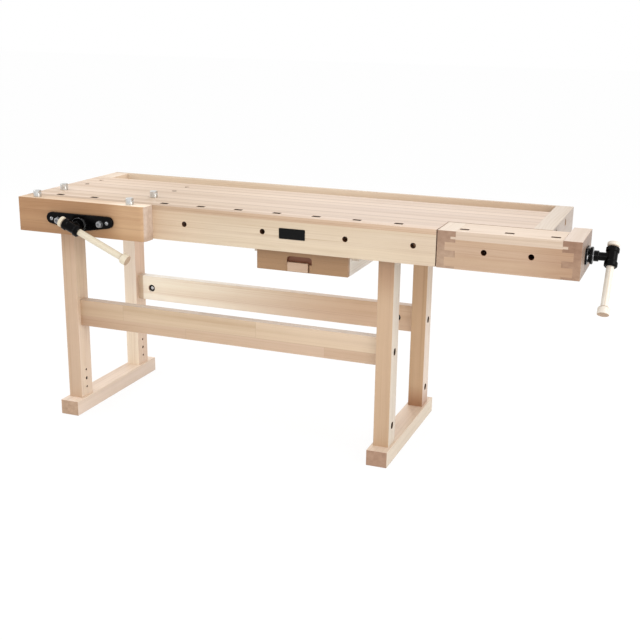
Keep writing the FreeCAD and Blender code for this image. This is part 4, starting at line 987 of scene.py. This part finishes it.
@dataclass
class BenchTop:
    """The laminated top: apron, dog strip, slab, tray, rails, end cap and plate."""

    shop: Workshop
    stave: float = 0.060
    stave_offset: float = -0.215
    margin: float = 0.004
    tray_rabbet: float = 0.070
    peg_low: float = 0.8164
    peg_high: float = 0.8376
    plate_size: Tuple[float, float] = (0.098, 0.038)
    plate_corner: float = 0.003
    rim: float = 0.0016
    cap_bolt_width: float = 0.0098
    cap_bolt_seat: float = 0.008
    cap_bolt_radius: float = 0.005

    def build(self) -> None:
        """Dresses the top's boards and adds its small pieces."""
        self.dress_boards()
        self.badge_plate()
        self.cap_bolts()

    def dress_boards(self) -> None:
        """Gives each board its own beech."""
        low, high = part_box("slab")
        left, right = LEFT + self.margin, APRON_END - self.margin
        # Painted shade on the walls of the dog holes, the dog slots and the peg holes.
        holes = HoleShade((left, low.y + 0.001, low.z + 0.001), (right, high.y - self.tray_rabbet, TOP - HOLE_RIM))
        slots = HoleShade((left, low.y - 0.001, 0.0), (right, low.y + SLOT_RIM, TOP - SLOT_RIM), SLOT_SHADE)
        strip_slots = HoleShade((left, -1.0, 0.0), (right, 1.0, TOP - SLOT_RIM), SLOT_SHADE)
        pegs = HoleShade((left, FRONT + HOLE_RIM, self.peg_low), (right, 1.0, self.peg_high),
                    (0.110, 0.040, 0.012))
        # Painted light: the left end of the top and the dog strip is made paler.
        left_end_light = Fade(Axis.X, -0.55, -1.0, (1.15, 1.185, 1.25))
        near = Fade(Axis.X, -0.45, 0.30, (0.86, 0.83, 0.83))
        back = Fade(Axis.Y, 0.02, 0.20, (1.05, 1.05, 1.04))
        # Painted shade of the gap beside the tail jaw: the last 2 mm of the apron and cap go dark, and their
        # end faces stay about half as dark.
        arris = Fade(Axis.X, APRON_END - 0.0020, APRON_END - 0.0009, (0.12, 0.09, 0.07))
        gap_shade_on_end = Fade(Axis.X, APRON_END - 0.0003, APRON_END - 0.0001, (4.0, 4.6, 5.2))
        top = Timber((0.608, 0.460, 0.336), width=self.stave, offset=self.stave_offset, heart=0.86,
                     seam=0.70, seam_width=0.0020, variety=0.55, streak=1.2, edge_shade=0.85,
                     layers=(left_end_light, near, back, holes, slots))
        strip = Timber((0.608, 0.460, 0.336), width=0.021, offset=-0.214, heart=0.86, seam=0.0,
                       layers=(left_end_light, near, strip_slots))
        apron = Timber((0.637, 0.518, 0.382), staves=Axis.Z, width=0.2, offset=0.70, heart=-0.24,
                       variety=0.0, streak=1.5,
                       layers=(Fade(Axis.X, -0.25, -0.60, (1.02, 0.94, 0.88)),
                               Fade(Axis.X, 0.28, 0.50, (0.95, 0.93, 0.93)), arris, gap_shade_on_end, pegs))
        cap = Timber((0.49, 0.34, 0.225), width=0.2, offset=-0.3, heart=0.86, variety=0.0,
                     layers=(Fade(Axis.X, -0.6, 0.5, (1.18, 1.22, 1.28)), arris, gap_shade_on_end))
        # The rail's darker top and the end cap's lighter top are painted shade and light.
        rail = Timber((0.69, 0.58, 0.465), staves=Axis.Z, width=0.2, offset=0.7, heart=0.39, variety=0.0,
                      top_shading_tone=(0.54, 0.408, 0.277), layers=(Fade(Axis.X, -0.3, 0.8, (0.82, 0.75, 0.70)),))
        block = Timber((0.80, 0.66, 0.52), grain=Axis.Y, staves=Axis.X, width=0.2, offset=-1.15, heart=0.86)
        end = Timber((0.392, 0.325, 0.277), grain=Axis.Y, staves=Axis.X, width=0.2, offset=0.7, heart=0.80,
                     variety=0.0, top_shading_tone=(0.54, 0.44, 0.345))
        ply = Plywood((0.72, 0.58, 0.42), 0.0028)
        self.shop.dress((("slab", top), ("dog_strip", strip), ("apron", apron), ("apron_cap", cap),
                         ("back_rail", rail), ("tray_end_block", block), ("end_cap", end),
                         ("tray_bottom", ply)), 3.1, 5.7)

    def badge_plate(self) -> None:
        """Sets the bare plate, with its raised rim, on the apron."""
        low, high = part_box("badge_plate")
        width, height = self.plate_size
        middle = (low + high) / 2
        mesh = bmesh.new()
        rows = []
        for inset, out in ((0.0, 0.0), (0.0, 0.0012), (0.0004, 0.0016), (self.rim, 0.0016),
                           (self.rim + 0.0004, 0.0010)):
            corner = max(self.plate_corner - inset, 0.0006)
            rows.append([mesh.verts.new((middle.x + x, high.y - out, middle.z + z))
                         for x, z in self.outline(width / 2 - inset, height / 2 - inset, corner)])
        Turner.skin(mesh, rows)
        mesh.faces.new(rows[0])
        mesh.faces.new(rows[-1])
        self.shop.piece("badge_plate_rimmed", mesh, "bench", "badge_black",
                        BARE_PLATE.material("bare_plate", 2.0), "badge_plate")

    @staticmethod
    def outline(half_width: float, half_height: float, corner: float) -> List[Tuple[float, float]]:
        """Draws a rectangle with round corners.

        Args:
            half_width: from its middle to a side.
            half_height: from its middle to the top.
            corner: the radius of its corners.

        Returns:
            Its points, in order.
        """
        points = []
        for quarter, (sx, sz) in enumerate(((1, 1), (-1, 1), (-1, -1), (1, -1))):
            for angle in (math.pi / 2 * (quarter + i / 5) for i in range(6)):
                points.append((sx * (half_width - corner) + corner * math.cos(angle),
                               sz * (half_height - corner) + corner * math.sin(angle)))
        return points

    def cap_bolts(self) -> None:
        """Sets hexagon bolts and washers in the end cap's counterbores."""
        low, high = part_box("cap_bolts")
        height = (low.z + high.z) / 2
        seat = high.x - self.cap_bolt_seat
        mesh = bmesh.new()
        for y in (low.y + self.cap_bolt_width, high.y - self.cap_bolt_width):
            bolt = Fastener.hexagon(self.cap_bolt_width, 0.0064, 0.0125)
            Turner.add(mesh, bolt, upright((seat, y, height), (1, 0, 0)))
            shank = Turner.lathe([(self.cap_bolt_radius, 0.0), (self.cap_bolt_radius, seat - low.x)], 24)
            Turner.add(mesh, shank, upright((low.x, y, height), (1, 0, 0)))
        self.shop.piece("cap_bolts_hexagon", mesh, "bench", "black_bolt",
                        BLACK_STEEL.material("cap_bolt_black", 1.0), "cap_bolts")


@dataclass
class Trestles:
    """Feet, legs, rails and stretchers, with their bolts."""

    shop: Workshop
    nut_radius: float = 0.015
    nut_inset: float = 0.065
    head_radius: float = 0.0112
    bolt_radius: float = 0.006
    bolt_length: float = 0.1235
    bolt_seat: float = 0.008
    bolt_width: float = 0.012
    cap_nut_reach: float = 0.048
    cap_nut_depth: float = 0.050
    first_stave: float = 0.042

    def build(self) -> None:
        """Dresses the trestles and sets their bolts."""
        self.dress_legs()
        self.dress_feet()
        self.dress_stretchers()
        rail = Timber((0.60, 0.45, 0.32), grain=Axis.Y, staves=Axis.X, width=0.3, offset=-1.4, heart=0.80)
        dowel = Timber((0.68, 0.50, 0.34), width=0.4, offset=-0.4, heart=0.4)
        self.shop.dress((("top_rails", rail), ("stretcher_dowels", dowel)), 61.0)
        self.shop.dress((("top_bolts", BLACK_STEEL),), 5.0)
        self.bed_bolts()
        self.cross_nuts()

    def dress_legs(self) -> None:
        """Gives the legs two staves each, with painted shade on the walls of their bolt and dowel holes, and
        painted light and shade on their faces.
        """
        # Painted shade and light on the legs: the chop's shadow on the front left leg, shade towards the
        # tops, a contact shadow above the back right foot, and light and shade by height on the sides.
        chop_shadow = Fade(Axis.Z, 0.60, 0.74, (0.87, 0.82, 0.78))
        top_shade_soft = Fade(Axis.Z, 0.32, 0.45, (0.925, 0.93, 0.96))
        top_shade_deep = Fade(Axis.Z, 0.58, 0.72, (0.78, 0.70, 0.65))
        foot_contact_shadow = Fade(Axis.Z, 0.16, 0.062, (0.66, 0.50, 0.42))
        side_shade_high = Fade(Axis.Z, 0.30, 0.60, (0.85, 0.81, 0.74))
        side_light_high = Fade(Axis.Z, 0.40, 0.52, (1.15, 1.08, 1.02))
        side_light_top = Fade(Axis.Z, 0.58, 0.72, (1.28, 1.42, 1.50))
        legs = []
        # Each leg's side tone is painted light and shade, and the back left leg's pale front tone is painted
        # light.
        for node, tone, side_shading_tone, fade, side_shading_fade in (
            ("leg_front_left", (0.576, 0.411, 0.281), (0.70, 0.55, 0.42), chop_shadow, side_shade_high),
            ("leg_back_left", (0.885, 0.755, 0.60), (0.72, 0.55, 0.42), top_shade_soft, side_light_high),
            ("leg_front_right", (0.60, 0.42, 0.275), (0.575, 0.495, 0.405), top_shade_deep, side_light_top),
            ("leg_back_right", (0.558, 0.376, 0.228), (0.66, 0.55, 0.46), foot_contact_shadow, side_shade_high),
        ):
            low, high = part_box(node)
            # Painted shade on the walls of the bolt and dowel holes.
            holes = HoleShade((low.x + 0.001, low.y + 0.006, low.z + 0.006),
                         (high.x - 0.001, high.y - 0.006, high.z))
            leg = Timber(tone, grain=Axis.Z, width=(high.y - low.y) / 2, offset=low.y, heart=low.x - 0.03,
                         variety=0.30, streak=0.9, seam=0.15, side_shading_tone=side_shading_tone, layers=(fade, holes),
                         side_shading_fades=(side_shading_fade,))
            legs.append((node, leg))
        self.shop.dress(legs, 11.3, 3.9)

    def dress_feet(self) -> None:
        """Gives the feet their staves and end grain, and tops with painted light."""
        feet = []
        # The paler top tones are painted light.
        for node, tone, top_shading_tone, end_tone in (
            ("foot_left", (0.705, 0.575, 0.47), (0.825, 0.68, 0.56), (0.456, 0.31, 0.208)),
            ("foot_right", (0.61, 0.515, 0.40), (0.70, 0.56, 0.44), (0.385, 0.24, 0.16)),
        ):
            low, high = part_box(node)
            foot = Timber(tone, grain=Axis.Y, staves=Axis.X, width=(high.x - low.x) * 0.37, offset=low.x,
                          heart=-0.02, variety=0.35, seam=0.25, top_shading_tone=top_shading_tone, end_tone=end_tone)
            feet.append((node, foot))
        self.shop.dress(feet, 31.7, 2.9)

    def dress_stretchers(self) -> None:
        """Gives the stretchers their long blocks, the front one in two rows."""
        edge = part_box("stretcher_front")[0].z + self.first_stave
        lower = Fade(Axis.Z, edge + 0.0004, edge - 0.0004, (0.95, 0.90, 0.91))
        # Painted shade on the front stretcher's left end, beside the front left leg.
        leg_shade = Fade(Axis.X, -0.60, -0.935, (0.86, 0.79, 0.75))
        # Painted shadow of the back left leg on the back stretcher's left end.
        corner = Fade(Axis.X, -0.9125, -0.9165, (0.66, 0.56, 0.48))
        stretchers = []
        # Both pale top tones are painted light, and so is the back stretcher's near-white tone, which darkens
        # towards the right.
        for node, tone, top_shading_tone, first, width, fades in (
            ("stretcher_front", (0.575, 0.430, 0.288), (0.83, 0.73, 0.62), self.first_stave, 0.063,
             (Fade(Axis.X, -0.9, 0.3, (1.08, 1.10, 1.16)), lower, leg_shade)),
            ("stretcher_back", (0.94, 0.85, 0.705), (0.94, 0.93, 0.87), -0.050, 0.5,
             (Fade(Axis.X, -0.80, 0.10, (0.69, 0.545, 0.455)), corner)),
        ):
            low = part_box(node)[0]
            board = Timber(tone, staves=Axis.Z, width=width, offset=low.z + first, heart=low.y + 0.05,
                           variety=0.3, streak=1.2, block=width * 9.0, top_shading_tone=top_shading_tone, layers=fades)
            stretchers.append((node, board))
        self.shop.dress(stretchers, 47.1, 6.3)

    def bed_bolts(self) -> None:
        """Sets the long bolts through the legs into the stretchers."""
        low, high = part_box("stretcher_bolts")
        height = (low.z + high.z) / 2
        radius, length = self.bolt_radius, self.bolt_length
        outline = [(radius, 0.0), (radius, length - 0.0015), (radius - 0.0015, length)]
        mesh = bmesh.new()
        for end, inward in ((low.x, 1.0), (high.x, -1.0)):
            for y in (low.y + self.bolt_width, high.y - self.bolt_width):
                seat = (end + inward * self.bolt_seat, y, height)
                head = Fastener.hexagon(self.head_radius, 0.0062, 0.0132)
                Turner.add(mesh, head, upright(seat, (-inward, 0, 0)))
                Turner.add(mesh, Turner.lathe(outline, 24), upright(seat, (inward, 0, 0)))
        self.shop.piece("bed_bolts_hexagon", mesh, "bench", "black_bolt",
                        BLACK_STEEL.material("bed_bolt_black", 9.0), "stretcher_bolts")

    def cross_nuts(self) -> None:
        """Sets the barrel nuts, slotted and bored at their faces."""
        barrels = bmesh.new()
        ends = bmesh.new()
        front_low, front_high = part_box("stretcher_front")
        back_low, back_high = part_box("stretcher_back")
        height = (front_low.z + front_high.z) / 2
        radius = self.nut_radius
        for x in (front_low.x + self.nut_inset, front_high.x - self.nut_inset):
            for face, inner, way in (
                (front_high.y - 0.002, front_low.y + 0.006, 1.0),
                (back_low.y + 0.002, back_high.y - 0.006, -1.0),
            ):
                length = abs(face - inner)
                outline = [(radius, 0.0), (radius, length - 0.0052), (radius - 0.0010, length - 0.004),
                           (0.0080, length - 0.004)]
                place = upright((x, inner, height), (0, way, 0))
                Turner.add(barrels, Turner.lathe(outline, 40), place)
                tip = Fastener.slotted(0.0074, 0.0030, 0.0011)
                Turner.add(ends, tip, place @ Matrix.Translation((0, 0, length - 0.004)))
        low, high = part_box("cap_bolts")
        for y in (low.y + 0.01, high.y - 0.01):
            barrel = Turner.lathe([(0.0085, 0.0), (0.009, 0.0005), (0.009, 0.0335), (0.0085, 0.034)], 32)
            place = (CAP_START - self.cap_nut_reach, y, TOP - self.cap_nut_depth)
            Turner.add(barrels, barrel, Matrix.Translation(place))
        self.shop.piece("cross_nuts_turned", barrels, "bench", "black_bolt",
                        BLACK_STEEL.material("cross_nut_black", 7.0), "cross_nuts")
        self.shop.piece("cross_nut_ends", ends, "bench", "black_bolt",
                        ZINC.material("cross_nut_zinc", 7.5), "cross_nuts", crease=20.0)


@dataclass
class ScrewHandle:
    """A cast T on a screw, and the turned handle that slides through it."""

    shop: Workshop
    prefix: str
    bodies: Tuple[str, str]
    centre: Point
    direction: Point
    length: float
    tone: Colour
    seed: float
    hub_half: float = 0.035
    gap: float = 0.0003
    bar: float = 0.0126
    knob_radius: float = 0.020
    upper_knob: float = 0.016
    lower_knob: float = 0.027

    def build(self) -> None:
        """Builds the T, the bar and its knobs."""
        iron = CAST_IRON.material(self.prefix + "_hub_iron", self.seed)
        casting = self.shop.cast(self.prefix + "_hub", 0.0008, 4)
        self.shop.piece(self.prefix + "_hub_cast", casting, self.bodies[0], "black_iron", iron,
                        self.prefix + "_hub", crease=60.0)
        beech = Timber(self.tone, grain=Axis.Z, width=0.2, offset=-0.1, heart=-0.03, variety=0.0,
                       streak=0.5, seam=0.0, end_tone=(0.42, 0.30, 0.20), roughness=0.40,
                       honey=WHITE, rose=WHITE)
        wood = beech.material(self.prefix + "_handle_wood", self.seed + 3.0)
        start = -(self.hub_half + self.gap + self.upper_knob)
        end = start + self.length
        self.handle(start, end, wood)
        self.knob("upper", self.upper_knob, start + self.upper_knob, -1.0, wood)
        self.knob("lower", self.lower_knob, end - self.lower_knob, 1.0, wood)

    def handle(self, start: float, end: float, wood: bpy.types.Material) -> None:
        """Turns the bar, a little fuller in its middle.

        Args:
            start: where it starts along its axis.
            end: where it ends.
            wood: its material.
        """
        steps = 36
        rings: List[Ring] = [(self.bar - 0.0012, start + 0.0005)]
        for t in (i / steps for i in range(steps + 1)):
            height = start + 0.0015 + (end - start - 0.003) * t
            rings.append((self.bar - 0.0005 + 0.0004 * math.sin(math.pi * t), height))
        rings.append((self.bar - 0.0012, end - 0.0005))
        self.shop.piece(self.prefix + "_handle_turned", Turner.lathe(rings), self.bodies[1],
                        "handle_wood", wood, self.prefix + "_handle", upright(self.centre, self.direction))

    def knob(self, name: str, length: float, seat: float, way: float, wood: bpy.types.Material) -> None:
        """Turns a knob.

        Args:
            name: which of the two it is.
            length: of the knob.
            seat: where its outer end's plane starts along the bar.
            way: 1 when it points along the bar, and -1 against it.
            wood: its material.
        """
        outline = [(self.bar + 0.0002, 0.0004), (self.bar + 0.0025, 0.0), (self.knob_radius, 0.0050),
                   (self.knob_radius, length), (self.bar, length)]
        rings = Turner.rounded(outline, {1: 0.0010, 2: 0.0022, 3: 0.0030})
        along = Vector(self.direction)
        place = upright(Vector(self.centre) + along * seat, along * way)
        self.shop.piece(f"{self.prefix}_knob_{name}", Turner.lathe(rings), self.bodies[1],
                        "handle_wood", wood, self.prefix + "_knobs", place)


@dataclass
class FrontVise:
    """The chop with its plate, rods, screw and handle."""

    shop: Workshop
    screw_x: float = -0.8235
    screw_z: float = 0.802
    rod_z: float = 0.813
    rod_reach: float = 0.090
    wood_screw_reach: float = 0.119
    wood_screw_z: float = 0.818
    plate_face: float = -0.3205
    handle_y: float = -0.368
    handle_slope: float = 24.0
    handle_length: float = 0.304
    dog_hole_front: float = -0.292
    dog_hole_back: float = -0.266
    dog_hole_depth: float = 0.060
    pitch: float = 0.006
    plain_length: float = 0.105

    def build(self) -> None:
        """Dresses the vise and builds its metalwork and handle."""
        self.dress()
        self.plate_bolts()
        self.screw()
        slope = math.radians(self.handle_slope)
        ScrewHandle(self.shop, "front", ("front_turning_screw", "front_sliding_handle"),
                    (self.screw_x, self.handle_y, self.screw_z), (math.cos(slope), 0.0, -math.sin(slope)),
                    self.handle_length, (0.70, 0.62, 0.475), 71.0).build()

    def dress(self) -> None:
        """Gives the chop its lamination and the metal its finish."""
        low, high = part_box("front_chop")
        # Painted shade on the walls of the chop's dog holes, and painted light in the chop's pale top tone.
        holes = HoleShade((low.x + 0.010, self.dog_hole_front, TOP - self.dog_hole_depth),
                     (high.x - 0.010, self.dog_hole_back, TOP - HOLE_RIM))
        chop = Timber((0.41, 0.226, 0.108), staves=Axis.Z, width=0.043, offset=0.759, heart=-0.30,
                      streak=1.5, seam=0.30, seam_width=0.0008, end_tone=(0.42, 0.29, 0.20),
                      top_shading_tone=(0.92, 0.69, 0.48),
                      layers=(Fade(Axis.X, -0.74, -0.63, (1.32, 1.50, 1.72)),
                              Fade(Axis.Z, 0.80, 0.765, (0.85, 0.80, 0.75)), holes))
        self.shop.dress((("front_chop", chop),), 83.0)
        self.shop.dress((("front_plate", CAST_IRON), ("guide_rods", DRAWN_STEEL), ("rod_tie", BLACK_STEEL),
                         ("nut_bracket", CAST_IRON), ("bracket_screws", ZINC),
                         ("front_snap_ring", DRAWN_STEEL)), 4.0)

    def plate_bolts(self) -> None:
        """Sets the two rod bolts and the two wood screws on the plate."""
        mesh = bmesh.new()
        out, inward = (0, -1, 0), (0, 1, 0)
        for side in (-1.0, 1.0):
            rod = (self.screw_x + side * self.rod_reach, self.plate_face, self.rod_z)
            washer = Turner.lathe([(0.0124, -0.0006), (0.0124, 0.0010), (0.0120, 0.0014)])
            Turner.add(mesh, washer, upright(rod, out))
            seat = (rod[0], rod[1] - 0.0013, rod[2])
            Turner.add(mesh, Fastener.socket(0.0112, 0.0105, 0.0058, 0.0060), upright(seat, out))
            Turner.add(mesh, Turner.lathe([(0.006, 0.0), (0.006, 0.034)], 24), upright(rod, inward))
            screw = (self.screw_x + side * self.wood_screw_reach, self.plate_face, self.wood_screw_z)
            turned = upright(screw, out) @ Matrix.Rotation(0.6 + side, 4, "Z")
            Turner.add(mesh, Fastener.slotted(0.007, 0.0034, 0.0007), turned)
            body = Turner.lathe([(0.004, 0.0), (0.004, 0.030), (0.0005, 0.040)], 20)
            Turner.add(mesh, body, upright(screw, inward))
        self.shop.piece("plate_bolts_bright", mesh, "front_vise", "bright_steel",
                        BRIGHT_STEEL.material("plate_bolt_steel", 16.0), "plate_bolts")

    def screw(self) -> None:
        """Cuts the screw's thread behind the chop."""
        low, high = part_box("front_screw")
        length = high.y - low.y
        mesh = Turner.thread(0.012, self.pitch, self.plain_length, length - self.pitch, length)
        self.shop.piece("front_screw_threaded", mesh, "front_turning_screw", "rod_steel",
                        DRAWN_STEEL.material("front_screw_steel", 18.0), "front_screw",
                        upright((self.screw_x, low.y, self.screw_z), (0, 1, 0)))


@dataclass
class TailVise:
    """The L-shaped jaw with its finger joints, guides, screw and handle."""

    shop: Workshop
    screw_y: float = -0.130
    screw_z: float = 0.823
    handle_x: float = 1.072
    handle_lean: float = 36.0
    handle_length: float = 0.253
    pitch: float = 0.006
    plain_length: float = 0.125
    dog_hole_front: float = FRONT + 0.030
    dog_hole_back: float = FRONT + 0.060
    peg_low: float = 0.8145
    peg_high: float = 0.8355

    def build(self) -> None:
        """Dresses the vise and builds its screw and handle."""
        self.dress()
        self.screw()
        lean = math.radians(self.handle_lean)
        ScrewHandle(self.shop, "tail", ("tail_turning_screw", "tail_sliding_handle"),
                    (self.handle_x, self.screw_y, self.screw_z), (0.0, -math.sin(lean), -math.cos(lean)),
                    self.handle_length, (0.72, 0.665, 0.585), 91.0).build()

    def dress(self) -> None:
        """Gives each board its own beech, and the metal its finish."""
        low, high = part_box("tail_front_board")
        # Painted shade on the walls of the dog holes and the peg holes.
        dogs = HoleShade((low.x + 0.02, self.dog_hole_front, 0.0),
                    (high.x - 0.02, self.dog_hole_back, TOP - SLOT_RIM), (0.115, 0.072, 0.048))
        pegs = HoleShade((low.x + 0.06, FRONT + HOLE_RIM, self.peg_low), (high.x - 0.06, 1.0, self.peg_high),
                    (0.090, 0.028, 0.008))
        low_ends = Fade(Axis.Z, 0.862, 0.805, (1.18, 1.26, 1.28))
        # The top tones of the jaw, block and plank are painted light and shade.
        jaw = Timber((0.68, 0.54, 0.42), grain=Axis.Y, staves=Axis.X, width=0.3, offset=0.4, heart=0.84,
                     variety=0.0, top_shading_tone=(0.61, 0.485, 0.365), end_tone=(0.325, 0.205, 0.136),
                     layers=(low_ends,))
        block = Timber((0.229, 0.153, 0.113), grain=Axis.Y, staves=Axis.X, width=0.3, offset=0.8, heart=0.84,
                       variety=0.0, top_shading_tone=(0.57, 0.446, 0.352), end_tone=(0.272, 0.157, 0.098),
                       layers=(low_ends,))
        board = Timber((0.49, 0.336, 0.225), staves=Axis.Z, width=0.3, offset=0.6, heart=-0.28, variety=0.0,
                       layers=(Fade(Axis.X, 0.75, 0.98, (0.82, 0.74, 0.68)), dogs, pegs))
        plank = Timber((0.575, 0.45, 0.345), width=0.3, offset=-0.4, heart=0.84, variety=0.0,
                       top_shading_tone=(0.61, 0.465, 0.34), layers=(dogs,))
        waxed = Timber((0.19, 0.105, 0.058), staves=Axis.Z, width=0.3, offset=0.6, heart=-0.2, variety=0.0)
        self.shop.dress((("tail_jaw", jaw), ("tail_end_block", block), ("tail_front_board", board),
                         ("tail_top_plank", plank), ("jaw_tongue", waxed), ("guide_rail", waxed),
                         ("rod_bearing", board)), 101.3, 4.1)
        self.shop.dress((("tail_flange", CAST_IRON), ("flange_screws", ZINC), ("tail_rod", DRAWN_STEEL),
                         ("tail_nut", CAST_IRON), ("tail_snap_ring", DRAWN_STEEL)), 20.0)

    def screw(self) -> None:
        """Cuts the screw's thread inside the vise."""
        low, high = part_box("tail_screw")
        length = high.x - low.x
        mesh = Turner.thread(0.0127, self.pitch, self.pitch, length - self.plain_length, length)
        self.shop.piece("tail_screw_threaded", mesh, "tail_turning_screw", "rod_steel",
                        DRAWN_STEEL.material("tail_screw_steel", 30.0), "tail_screw",
                        upright((low.x, self.screw_y, self.screw_z), (1, 0, 0)))


@dataclass
class Dogs:
    """The four round steel dogs, two in the chop and two in the top."""

    shop: Workshop
    shank: float = 0.00992
    head: float = 0.015
    flat: float = 0.003
    groove: float = 0.0006
    edges: Tuple[float, ...] = (0.001, 0.0118, 0.0122, 0.0150, 0.0154, 0.0188, 0.0192, 0.0225)
    columns: Tuple[Tuple[str, float], ...] = (("left", -1.029), ("right", -0.629))
    rows: Tuple[Tuple[str, float], ...] = (("chop", -0.279), ("top", -0.104))

    def build(self) -> None:
        """Turns each dog and files its flat."""
        steel = DOG_STEEL.material("dog_steel", 32.0)
        for row, y in self.rows:
            for column, x in self.columns:
                node = f"dog_{row}_{column}"
                self.shop.piece(node + "_turned", self.dog(), frame["nodes"][node]["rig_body"],
                                "bright_steel", steel, node, Matrix.Translation((x, y, TOP)))

    def dog(self) -> Mesh:
        """Turns one dog, standing with its head's underside at height 0.

        Returns:
            The dog.
        """
        shank, head = self.shank, self.head
        outline = [(shank - 0.002, -0.092), (shank, -0.090), (shank, -0.060), (shank - 0.001, -0.0595),
                   (shank - 0.001, -0.0565), (shank, -0.056), (shank, 0.0), (head - 0.001, 0.0)]
        outline += [(head, edge) for edge in self.edges] + [(head - 0.0015, 0.024)]
        mesh = Turner.lathe(outline, 64)
        for vertex in mesh.verts:
            if vertex.co.z > 0.0120:
                cut = self.groove if 0.0152 < vertex.co.z < 0.0190 else 0.0
                vertex.co.x = min(vertex.co.x, head - self.flat - cut)
        return mesh


@dataclass
class Drawer:
    """The shallow drawer and its runners."""

    shop: Workshop
    pocket_width: float = 0.094
    pocket_depth: float = 0.014
    pocket_height: float = 0.056

    def build(self) -> None:
        """Dresses the drawer, with painted shade on the walls of its finger slot."""
        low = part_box("drawer_front")[0]
        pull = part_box("drawer_pull")[0]
        # Painted shade on the walls of the finger slot.
        pocket = HoleShade((pull.x - 0.008, low.y + 0.0005, low.z + 0.001),
                      (pull.x + self.pocket_width, low.y + self.pocket_depth, low.z + self.pocket_height),
                      (0.20, 0.070, 0.030))
        front = Timber((0.344, 0.20, 0.10), staves=Axis.Z, width=0.3, offset=0.5, heart=-0.22, variety=0.0,
                       layers=(pocket,))
        # The pale tone of the drawer's sides and runners is painted light.
        side = Timber((0.90, 0.86, 0.80), grain=Axis.Y, staves=Axis.Z, width=0.3, offset=0.5, heart=0.20,
                      variety=0.0, end_tone=(0.70, 0.62, 0.52))
        grip = Timber((0.515, 0.36, 0.253), staves=Axis.Z, width=0.3, offset=0.5, heart=-0.24, variety=0.0)
        ply = Plywood((0.70, 0.56, 0.40), 0.0015, Axis.Y)
        self.shop.dress((("drawer_front", front), ("drawer_box", side), ("drawer_pull", grip),
                         ("drawer_bottom", ply), ("drawer_runners", side)), 131.9, 3.3)


def main() -> None:
    """Builds the studio and the bench's parts in order, and logs each part and the number of pieces made."""
    logging.basicConfig(level=logging.INFO, format="%(name)s: %(message)s")
    Studio().build()
    shop = Workshop()
    for part in (BenchTop(shop), Trestles(shop), FrontVise(shop), TailVise(shop), Dogs(shop), Drawer(shop)):
        part.build()
        log.info("built %s", type(part).__name__)
    log.info("%d pieces made", shop.made)


if __name__ == "__main__":
    main()
